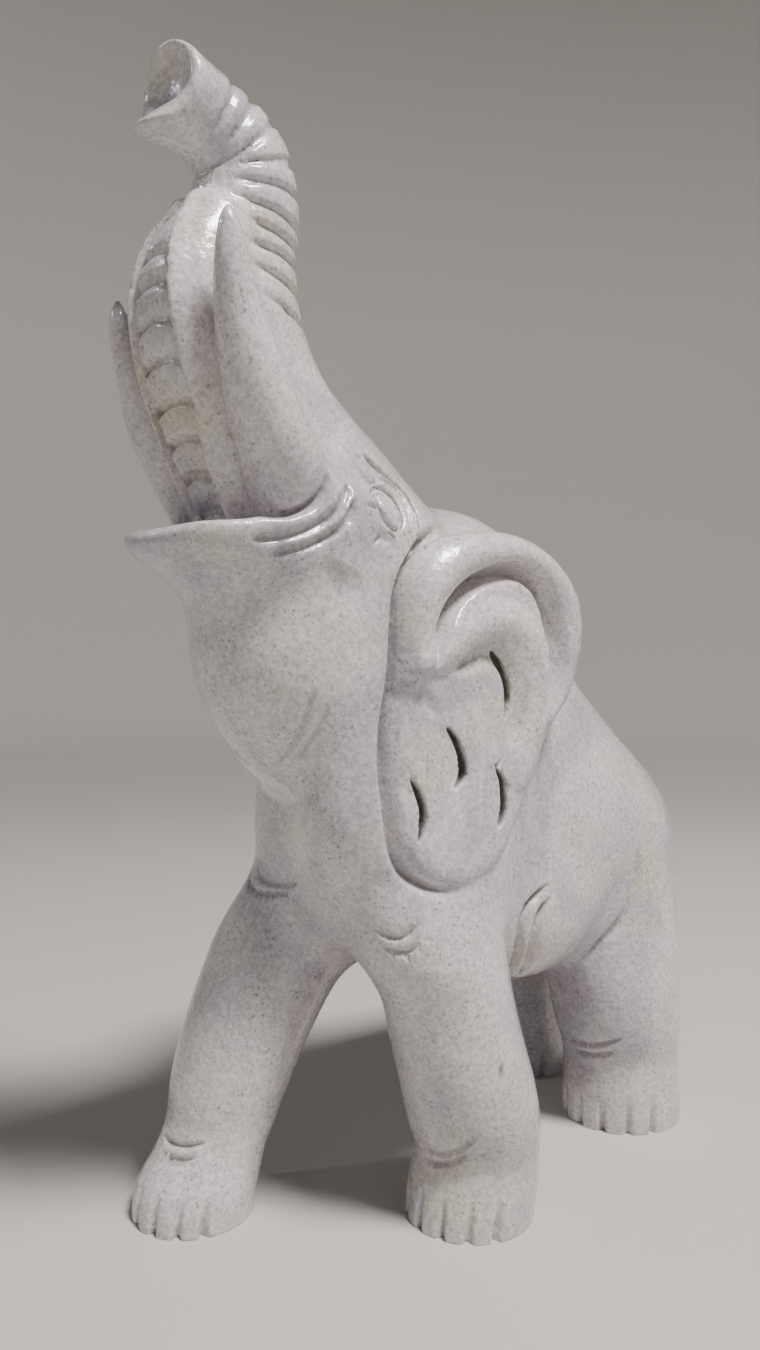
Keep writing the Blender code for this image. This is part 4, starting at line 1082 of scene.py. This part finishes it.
def level_soles(obj):
    """Cuts the feet off level on the ground, and closes the soles."""
    shape = bmesh.new()
    shape.from_mesh(obj.data)
    everything = list(shape.verts) + list(shape.edges) + list(shape.faces)
    bmesh.ops.bisect_plane(shape, geom=everything, plane_co=(0, 0, 0), plane_no=(0, 0, 1), clear_inner=True)
    bmesh.ops.remove_doubles(shape, verts=shape.verts, dist=SOLE_WELD)
    soles = bmesh.ops.holes_fill(shape, edges=[edge for edge in shape.edges if edge.is_boundary], sides=0)
    bmesh.ops.triangulate(shape, faces=soles["faces"])
    bmesh.ops.recalc_face_normals(shape, faces=shape.faces)
    shape.to_mesh(obj.data)
    shape.free()


class StatueSettings(bpy.types.PropertyGroup):
    """Sizes of the carving that a user would change."""

    grid_step: FloatProperty(
        name="Grid step", description="Step of the carving grid, in units of about a millimetre",
        default=0.65, min=0.5, max=3.0)
    triangles: IntProperty(
        name="Triangles",
        description="Triangles that the stone is thinned to. The pressed lines add about two fifths",
        default=134000, min=5000, max=140000)
    line_depth: FloatProperty(
        name="Line depth",
        description="How deep the finest lines are pressed in, as a share of their full depth",
        default=1.0, min=0.0, max=2.0, subtype="FACTOR")


def linear(code):
    """A colour from its sRGB hex code, as linear red, green and blue."""
    parts = [int(code[i:i + 2], 16) / 255.0 for i in (1, 3, 5)]
    return tuple(p / 12.92 if p <= 0.04045 else ((p + 0.055) / 1.055) ** 2.4 for p in parts)


class MarbleSettings(bpy.types.PropertyGroup):
    """Colours and grain of the marble."""

    stone: FloatVectorProperty(
        name="Stone", description="Main colour of the marble", subtype="COLOR", size=3,
        default=linear("#d2cccf"), min=0.0, max=1.0)
    cloud: FloatVectorProperty(
        name="Clouds", description="Colour of the cooler, darker clouds in the stone",
        subtype="COLOR", size=3, default=linear("#b6b0bb"), min=0.0, max=1.0)
    warm: FloatVectorProperty(
        name="Warm tint", description="Colour of the warmer patches in the stone", subtype="COLOR", size=3,
        default=linear("#c7c3b1"), min=0.0, max=1.0)
    speck: FloatVectorProperty(
        name="Specks", description="Colour of the dark grains", subtype="COLOR", size=3,
        default=linear("#757173"), min=0.0, max=1.0)
    cloud_size: FloatProperty(
        name="Cloud size", description="Distance between clouds", default=0.042, min=0.005, unit="LENGTH")
    speck_spacing: FloatProperty(
        name="Grain spacing", description="Distance between dark grains",
        default=0.0009, min=0.0002, unit="LENGTH")
    roughness: FloatProperty(
        name="Roughness", description="Roughness of the polish",
        default=0.22, min=0.0, max=1.0, subtype="FACTOR")


class StageSettings(bpy.types.PropertyGroup):
    """The plain stage, its lights and the camera."""

    floor_colour: FloatVectorProperty(
        name="Floor", description="Colour of the paper floor", subtype="COLOR", size=3,
        default=linear("#bfbdb9"), min=0.0, max=1.0)
    # The wall is painted paler than the floor, as painted light on the backdrop
    wall_colour_with_painted_light: FloatVectorProperty(
        name="Wall", description="Colour of the paper wall", subtype="COLOR", size=3,
        default=linear("#f2f0ec"), min=0.0, max=1.0)
    floor_radius: FloatProperty(
        name="Floor radius", description="Radius of the flat floor", default=1.6, min=0.5, unit="LENGTH")
    cove_radius: FloatProperty(
        name="Cove radius", description="Radius of the curve from floor to wall",
        default=1.0, min=0.1, unit="LENGTH")
    wall_height: FloatProperty(
        name="Wall height", description="Height of the wall above the curve",
        default=1.2, min=0.0, unit="LENGTH")
    key_power: FloatProperty(
        name="Key light", description="Power of the soft light from above",
        default=33.0, min=0.0, unit="POWER")
    fill_power: FloatProperty(
        name="Fill light", description="Power of the weak light from the front",
        default=0.8, min=0.0, unit="POWER")
    sky_strength: FloatProperty(
        name="Sky", description="Strength of the even light from all round", default=0.08, min=0.0)


def add_node(tree, kind, inputs=None, **settings):
    """Adds a node with its settings, and sets or links its inputs."""
    node = tree.nodes.new(kind)
    for name, value in settings.items():
        setattr(node, name, value)
    for key, value in (inputs or {}).items():
        if isinstance(value, bpy.types.NodeSocket):
            tree.links.new(value, node.inputs[key])
        else:
            node.inputs[key].default_value = value
    return node


def mix_colours(tree, share, first, second, blend="MIX"):
    """The second colour over the first by a share. Sockets 6 and 7 in and 2 out are the node's colours."""
    inputs = {0: share, 6: first, 7: second}
    return add_node(tree, "ShaderNodeMix", inputs, data_type="RGBA", blend_type=blend).outputs[2]


def ramp(tree, value, low, high, start=0.0, end=1.0):
    """A value between low and high brought to one between start and end, with soft ends."""
    inputs = {0: value, 1: low, 2: high, 3: start, 4: end}
    return add_node(tree, "ShaderNodeMapRange", inputs, interpolation_type="SMOOTHSTEP").outputs[0]


def multiply(tree, first, second):
    """The product of two values."""
    return add_node(tree, "ShaderNodeMath", {0: first, 1: second}, operation="MULTIPLY").outputs[0]


def polished_marble(settings):
    """Waxed marble: pale grey with lilac and cream clouds and fine dark grains. It gives the eye soft depth,
    because light enters the stone, under small sharp highlights that its slight waviness breaks up."""
    material = bpy.data.materials.new("polished marble")
    material.use_nodes = True
    tree = material.node_tree
    shader = tree.nodes["Principled BSDF"]
    place = add_node(tree, "ShaderNodeTexCoord").outputs["Object"]
    place = add_node(
        tree, "ShaderNodeMapping", {"Vector": place, "Scale": (1 / MILLIMETRE,) * 3}, vector_type="POINT"
    ).outputs[0]

    def noise(size, detail=2.0, roughness=0.5, distortion=0.0):
        """Noise whose lumps are about as wide as the size in millimetres."""
        inputs = {"Vector": place, "Scale": 1 / size, "Detail": detail, "Roughness": roughness,
                  "Distortion": distortion}
        return add_node(tree, "ShaderNodeTexNoise", inputs).outputs["Fac"]

    # Lilac clouds, then smaller cream ones
    cloud = settings.cloud_size / MILLIMETRE
    clouded = ramp(tree, noise(cloud, 4.0, 0.55, 0.6), 0.42, 0.66)
    colour = mix_colours(tree, clouded, (*settings.stone, 1), (*settings.cloud, 1))
    warmed = ramp(tree, noise(cloud * 0.6, 3.0, 0.5, 0.3), 0.5, 0.72, 0, 0.7)
    colour = mix_colours(tree, warmed, colour, (*settings.warm, 1))

    # Mottle of lighter and darker crystals
    mottle = ramp(tree, noise(1.4, 3.0, 0.7), 0.3, 0.7, 0.76, 1.14)
    grey = add_node(tree, "ShaderNodeCombineColor", {0: mottle, 1: mottle, 2: mottle}).outputs[0]
    colour = mix_colours(tree, 1.0, colour, grey, "MULTIPLY")

    # Dark grains in two sizes, closer together in some places
    spacing = settings.speck_spacing / MILLIMETRE
    crowd = ramp(tree, noise(9.0, 2.0), 0.35, 0.65, 0.35, 1.0)
    for step, share in ((spacing, 0.75), (spacing * 1.9, 0.6)):
        cells = add_node(tree, "ShaderNodeTexVoronoi", {"Vector": place, "Scale": 1 / step})
        grain = ramp(tree, cells.outputs["Distance"], 0.16, 0.34, 1.0, 0.0)
        chosen = add_node(tree, "ShaderNodeSeparateColor", {0: cells.outputs["Color"]}).outputs[0]
        chosen = ramp(tree, chosen, 0.45, 0.6, 0.0, share)
        speckled = multiply(tree, multiply(tree, grain, chosen), crowd)
        colour = mix_colours(tree, speckled, colour, (*settings.speck, 1))

    # The grain grown into the foreleg, with a ragged edge
    inputs = {"Vector": place, "Location": INCLUSION_PLACE, "Scale": INCLUSION_SIZE}
    from_grain = add_node(tree, "ShaderNodeMapping", inputs, vector_type="TEXTURE").outputs[0]
    from_grain = add_node(tree, "ShaderNodeVectorMath", {0: from_grain}, operation="LENGTH").outputs["Value"]
    ragged = add_node(tree, "ShaderNodeMath", {0: from_grain, 1: noise(1.2, 3.0)}, operation="ADD").outputs[0]
    grown_in = ramp(tree, ragged, 0.7, 1.6, 0.8, 0.0)
    colour = mix_colours(tree, grown_in, colour, (*linear(INCLUSION_COLOUR), 1))

    # Old wax and dust in the hollows, and painted shade there: darker where the surface is hollow or pressed
    # in
    hollow = add_node(tree, "ShaderNodeAttribute", attribute_name=HOLLOW).outputs["Fac"]
    waxed_and_shaded = ramp(tree, hollow, 0.05, 0.9, 0.0, 0.85)
    colour = mix_colours(tree, waxed_and_shaded, colour, (*linear(WAX_AND_SHADE_COLOUR), 1))
    tree.links.new(colour, shader.inputs["Base Color"])

    # The polish: unevenly worn, with the broad and fine waves of work by hand
    wear = ramp(tree, noise(5.0, 3.0, 0.6), 0.3, 0.7, settings.roughness * 0.75, settings.roughness * 1.35)
    tree.links.new(wear, shader.inputs["Roughness"])
    inputs = {"Strength": 0.6, "Distance": 0.0006, "Height": noise(5.0, 2.0, 0.5)}
    broad = add_node(tree, "ShaderNodeBump", inputs).outputs[0]
    inputs = {"Strength": 0.7, "Distance": 0.00022, "Height": noise(1.6, 3.0, 0.55), "Normal": broad}
    waves = add_node(tree, "ShaderNodeBump", inputs).outputs[0]
    tree.links.new(waves, shader.inputs["Normal"])
    tree.links.new(waves, shader.inputs["Coat Normal"])
    shader.inputs["IOR"].default_value = 1.5
    shader.inputs["Coat Weight"].default_value = 0.6
    shader.inputs["Coat Roughness"].default_value = 0.07
    shader.inputs["Subsurface Weight"].default_value = 0.2
    shader.inputs["Subsurface Radius"].default_value = (1.0, 0.85, 0.7)
    shader.inputs["Subsurface Scale"].default_value = 0.0015
    return material


def matt_paper(settings):
    """Matt paper, painted paler towards the wall to stand in for light on the backdrop, without gloss so that
    the stage stays quiet.
    """
    material = bpy.data.materials.new("matt paper")
    material.use_nodes = True
    tree = material.node_tree
    shader = tree.nodes["Principled BSDF"]
    place = add_node(tree, "ShaderNodeTexCoord").outputs["Object"]
    radius = add_node(tree, "ShaderNodeVectorMath", {0: place}, operation="LENGTH").outputs["Value"]
    # Paler towards the wall: painted light on the backdrop
    share = ramp(tree, radius, settings.floor_radius * 0.45, settings.floor_radius * 1.2)
    colour = mix_colours(tree, share, (*settings.floor_colour, 1), (*settings.wall_colour_with_painted_light, 1))
    tree.links.new(colour, shader.inputs["Base Color"])
    shader.inputs["Roughness"].default_value = 0.95
    shader.inputs["Specular IOR Level"].default_value = 0.1
    return material


def corners(mesh):
    """The corners of a mesh as an array."""
    points = np.empty(len(mesh.vertices) * 3)
    mesh.vertices.foreach_get("co", points)
    return points.reshape(-1, 3)


def near_line(points, line, reach):
    """Which points lie in the box round a line, and their distance to it."""
    low, high = line.min(axis=0) - reach, line.max(axis=0) + reach
    near = np.flatnonzero(((points > low) & (points < high)).all(axis=1))
    return near, line_distance(line, *points[near].T)


def refine_along(obj, lines, reach):
    """Splits the triangles that lie near the lines."""
    points = corners(obj.data)
    marked = np.zeros(len(points), bool)
    for *_, line in lines:
        near, distance = near_line(points, line, reach)
        marked[near[distance < reach]] = True
    shape = bmesh.new()
    shape.from_mesh(obj.data)
    edges = [edge for edge in shape.edges if marked[edge.verts[0].index] and marked[edge.verts[1].index]]
    bmesh.ops.subdivide_edges(shape, edges=edges, cuts=1, smooth=0.0, use_grid_fill=True)
    bmesh.ops.triangulate(shape, faces=[face for face in shape.faces if len(face.verts) > 3])
    shape.to_mesh(obj.data)
    shape.free()


def press_lines(obj, lines, depth_share):
    """Presses the finest lines into the mesh, after splitting the triangles along them, and darkens them
    with painted shade and wax.
    """
    for reach in REFINE_REACH:
        refine_along(obj, lines, reach)
    mesh = obj.data
    points = corners(mesh)
    normals = np.array([normal.vector for normal in mesh.vertex_normals])
    sunk = np.zeros(len(points))
    for depth, half_width, fade, line in lines:
        near, _ = near_line(points, line, half_width)
        pressed = depth * stroke(line, half_width, fade, *points[near].T)
        sunk[near] = np.maximum(sunk[near], pressed)
    mesh.vertices.foreach_set("co", (points - normals * (sunk * depth_share)[:, None]).ravel())
    mesh.update()
    # Deeper pressed lines get more painted shade, mixed with the wax colour, in the hollow measure
    wax_and_shade = np.empty(len(points), np.float32)
    layer = mesh.attributes[HOLLOW].data
    layer.foreach_get("value", wax_and_shade)
    wax_and_shade += np.clip((sunk - WAX_AND_SHADE_FROM) / WAX_AND_SHADE_OVER, 0.0, 1.0).astype(np.float32)
    layer.foreach_set("value", np.minimum(wax_and_shade, 1.0))


def mark_hollows(mesh):
    """Keeps on each corner how hollow the surface is there, from 0 to 1, for the wax and the painted shade
    in the hollows.
    """
    points = corners(mesh)
    normals = np.array([normal.vector for normal in mesh.vertex_normals])
    ends = np.empty(len(mesh.edges) * 2, int)
    mesh.edges.foreach_get("vertices", ends)
    a, b = ends.reshape(-1, 2).T
    count = np.maximum(np.bincount(np.concatenate([a, b]), minlength=len(points)), 1)

    def spread(values):
        """The mean over each corner's neighbours."""
        return (np.bincount(a, values[b], len(points)) + np.bincount(b, values[a], len(points))) / count

    mean = np.stack([spread(points[:, axis]) for axis in range(3)], axis=1)
    length = np.linalg.norm(points[a] - points[b], axis=1)
    span = (np.bincount(a, length, len(points)) + np.bincount(b, length, len(points))) / count
    hollow = ((mean - points) * normals).sum(axis=1) / np.maximum(span, 1e-3) ** 2
    for _ in range(HOLLOW_ROUNDS):
        hollow = 0.5 * hollow + 0.5 * spread(hollow)
    layer = mesh.attributes.new(HOLLOW, "FLOAT", "POINT")
    layer.data.foreach_set("value", np.clip(hollow * HOLLOW_GAIN, 0.0, 1.0).astype(np.float32))


def fit_to_frame(obj):
    """Brings the figure to the height of the solid and into its box."""
    points = corners(obj.data)
    low, high = points.min(axis=0), points.max(axis=0)
    box_low, box_high = (np.array(corner) for corner in CAD_BOX)
    size = (box_high - box_low) / (high - low)
    size = np.minimum(size, size[2])
    middle = (low + high) / 2.0
    target = (box_low + box_high) / 2.0
    points = (points - (*middle[:2], low[2])) * size + (*target[:2], box_low[2])
    obj.data.vertices.foreach_set("co", points.ravel())
    obj.data.update()


def fine_lines(block):
    """The lines that are pressed into the mesh, on the surface: depth, half width, fade, line."""
    lines = []
    for side, shift, lift in EARS:
        for line in SLITS:
            y, z = smooth_line(line, SLIT_PIECES).T
            x = ear_plane(y, z, lift) + ear_relief(y, z)
            lines.append((SLIT_DEPTH, SLIT_HALF, SLIT_TAPER, np.stack([side * x, y + shift, z], axis=1)))
        for depth, half_width, line in FINE_LINES:
            lines.append((depth, half_width, LINE_FADE, smooth_line(line, LINE_PIECES) * (side, 1, 1)))
        for depth, half_width, line in JAW_CREASES:
            lines.append((depth, half_width, CREASE_FADE, smooth_line(line, CREASE_PIECES) * (side, 1, 1)))
    for depth, half_width, line in CHEST_CREASES:
        lines.append((depth, half_width, CREASE_FADE, smooth_line(line, CREASE_PIECES)))
    for leg, creases in LEG_CREASES.items():
        for crease in creases:
            lines.append((LEG_CREASE_DEPTH, LEG_CREASE_HALF, CREASE_FADE, LEGS[leg].crease(*crease)))
    return [(depth, half_width, fade, block.settle(line)) for depth, half_width, fade, line in lines]


def add_object(name, data):
    """A new object in the scene, made from a mesh, light or camera."""
    obj = bpy.data.objects.new(name, data)
    bpy.context.scene.collection.objects.link(obj)
    return obj


def carved_stone(settings):
    """The statue's fine mesh, in the frame's metres."""
    block = carve_elephant(settings.grid_step)
    obj = add_object(PIECE, block.mesh(PIECE))
    thin_out(obj, settings.triangles)
    drop_pockets(obj)
    level_soles(obj)
    mark_hollows(obj.data)
    press_lines(obj, fine_lines(block), settings.line_depth)
    fit_to_frame(obj)
    # Takes out the few faces that the thinning has left doubled
    obj.data.validate()
    obj.data.shade_smooth()
    return obj


def soft_light(name, place, size, power, colour):
    """A square panel light that points at the middle of the stage."""
    lamp = bpy.data.lights.new(name, "AREA")
    lamp.shape = "SQUARE"
    lamp.size = size
    lamp.energy = power
    lamp.color = linear(colour)
    obj = add_object(name, lamp)
    obj.location = place
    obj.rotation_euler = (Vector(STAGE_MIDDLE) - obj.location).to_track_quat("-Z", "Y").to_euler()


def photo_camera():
    """The camera at the photo's viewing angle."""
    camera = bpy.data.cameras.new("camera")
    camera.lens = CAMERA_LENS
    camera.sensor_width = CAMERA_SENSOR
    camera.clip_start = 0.01
    obj = add_object("camera", camera)
    turn, dip = math.radians(CAMERA_TURN), math.radians(CAMERA_DIP)
    ahead = Vector((-math.sin(turn) * math.cos(dip), math.cos(turn) * math.cos(dip), -math.sin(dip)))
    obj.location = CAMERA_PLACE
    obj.rotation_euler = ahead.to_track_quat("-Z", "Y").to_euler()
    bpy.context.scene.camera = obj


def paper_bowl(settings):
    """A round paper floor that curves up into a wall all round."""
    outline = [(0.0, 0.0), (settings.floor_radius, 0.0)]
    for i in range(1, COVE_STEPS + 1):
        angle = math.pi / 2 * i / COVE_STEPS
        outline.append((
            settings.floor_radius + settings.cove_radius * math.sin(angle),
            settings.cove_radius * (1.0 - math.cos(angle)),
        ))
    outline.append((outline[-1][0], outline[-1][1] + settings.wall_height))
    shape = bmesh.new()
    points = [shape.verts.new((radius, 0.0, height)) for radius, height in outline]
    edges = [shape.edges.new(pair) for pair in zip(points[:-1], points[1:])]
    bmesh.ops.spin(
        shape, geom=points + edges, cent=(0, 0, 0), axis=(0, 0, 1), angle=2 * math.pi, steps=ROUND_STEPS)
    bmesh.ops.remove_doubles(shape, verts=shape.verts, dist=1e-5)
    bmesh.ops.recalc_face_normals(shape, faces=shape.faces)
    if shape.faces[0].normal.z < 0:
        bmesh.ops.reverse_faces(shape, faces=shape.faces)
    mesh = bpy.data.meshes.new("paper_floor")
    shape.to_mesh(mesh)
    shape.free()
    mesh.shade_smooth()
    mesh.materials.append(matt_paper(settings))
    return add_object("paper_floor", mesh)


def even_sky(strength):
    """Even pale light from all round."""
    world = bpy.data.worlds.new("even sky")
    bpy.context.scene.world = world
    world.use_nodes = True
    background = world.node_tree.nodes["Background"]
    background.inputs["Color"].default_value = (*linear(SKY_COLOUR), 1)
    background.inputs["Strength"].default_value = strength


class STATUE_OT_carve(bpy.types.Operator):
    """Carve the elephant in polished marble in place of the plain solid"""

    bl_idname = "statue.carve"
    bl_label = "Carve elephant"

    def execute(self, context):
        obj = carved_stone(context.scene.elephant_statue)
        if not obj.data.polygons:
            raise RuntimeError("the carved stone has no faces")
        obj.data.materials.append(polished_marble(context.scene.elephant_marble))
        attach(obj, "root")
        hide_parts(NODE)
        return {"FINISHED"}


class STATUE_OT_stage(bpy.types.Operator):
    """Set the paper floor, the soft lights and the camera"""

    bl_idname = "statue.stage"
    bl_label = "Set stage"

    def execute(self, context):
        settings = context.scene.elephant_stage
        paper_bowl(settings)
        soft_light("key light", KEY_PLACE, KEY_SIZE, settings.key_power, KEY_COLOUR)
        soft_light("fill light", FILL_PLACE, FILL_SIZE, settings.fill_power, FILL_COLOUR)
        even_sky(settings.sky_strength)
        photo_camera()
        return {"FINISHED"}


class STATUE_PT_panel(bpy.types.Panel):
    """The statue's steps and sizes"""

    bl_idname = "STATUE_PT_panel"
    bl_label = "Marble elephant"
    bl_space_type = "VIEW_3D"
    bl_region_type = "UI"
    bl_category = "Elephant"

    def draw(self, context):
        layout = self.layout
        scene = context.scene
        for group, operator in (
            (scene.elephant_statue, None),
            (scene.elephant_marble, "statue.carve"),
            (scene.elephant_stage, "statue.stage"),
        ):
            for name in group.__annotations__:
                layout.prop(group, name)
            if operator:
                layout.operator(operator)


CLASSES = (StatueSettings, MarbleSettings, StageSettings, STATUE_OT_carve, STATUE_OT_stage, STATUE_PT_panel)


def register():
    """Registers the add-on's classes and its settings."""
    for cls in CLASSES:
        bpy.utils.register_class(cls)
    bpy.types.Scene.elephant_statue = PointerProperty(type=StatueSettings)
    bpy.types.Scene.elephant_marble = PointerProperty(type=MarbleSettings)
    bpy.types.Scene.elephant_stage = PointerProperty(type=StageSettings)


def unregister():
    """Removes them again."""
    del bpy.types.Scene.elephant_stage
    del bpy.types.Scene.elephant_marble
    del bpy.types.Scene.elephant_statue
    for cls in reversed(CLASSES):
        bpy.utils.unregister_class(cls)


def main():
    """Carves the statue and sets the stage."""
    register()
    bpy.ops.statue.carve()
    bpy.ops.statue.stage()


if __name__ == "__main__":
    main()
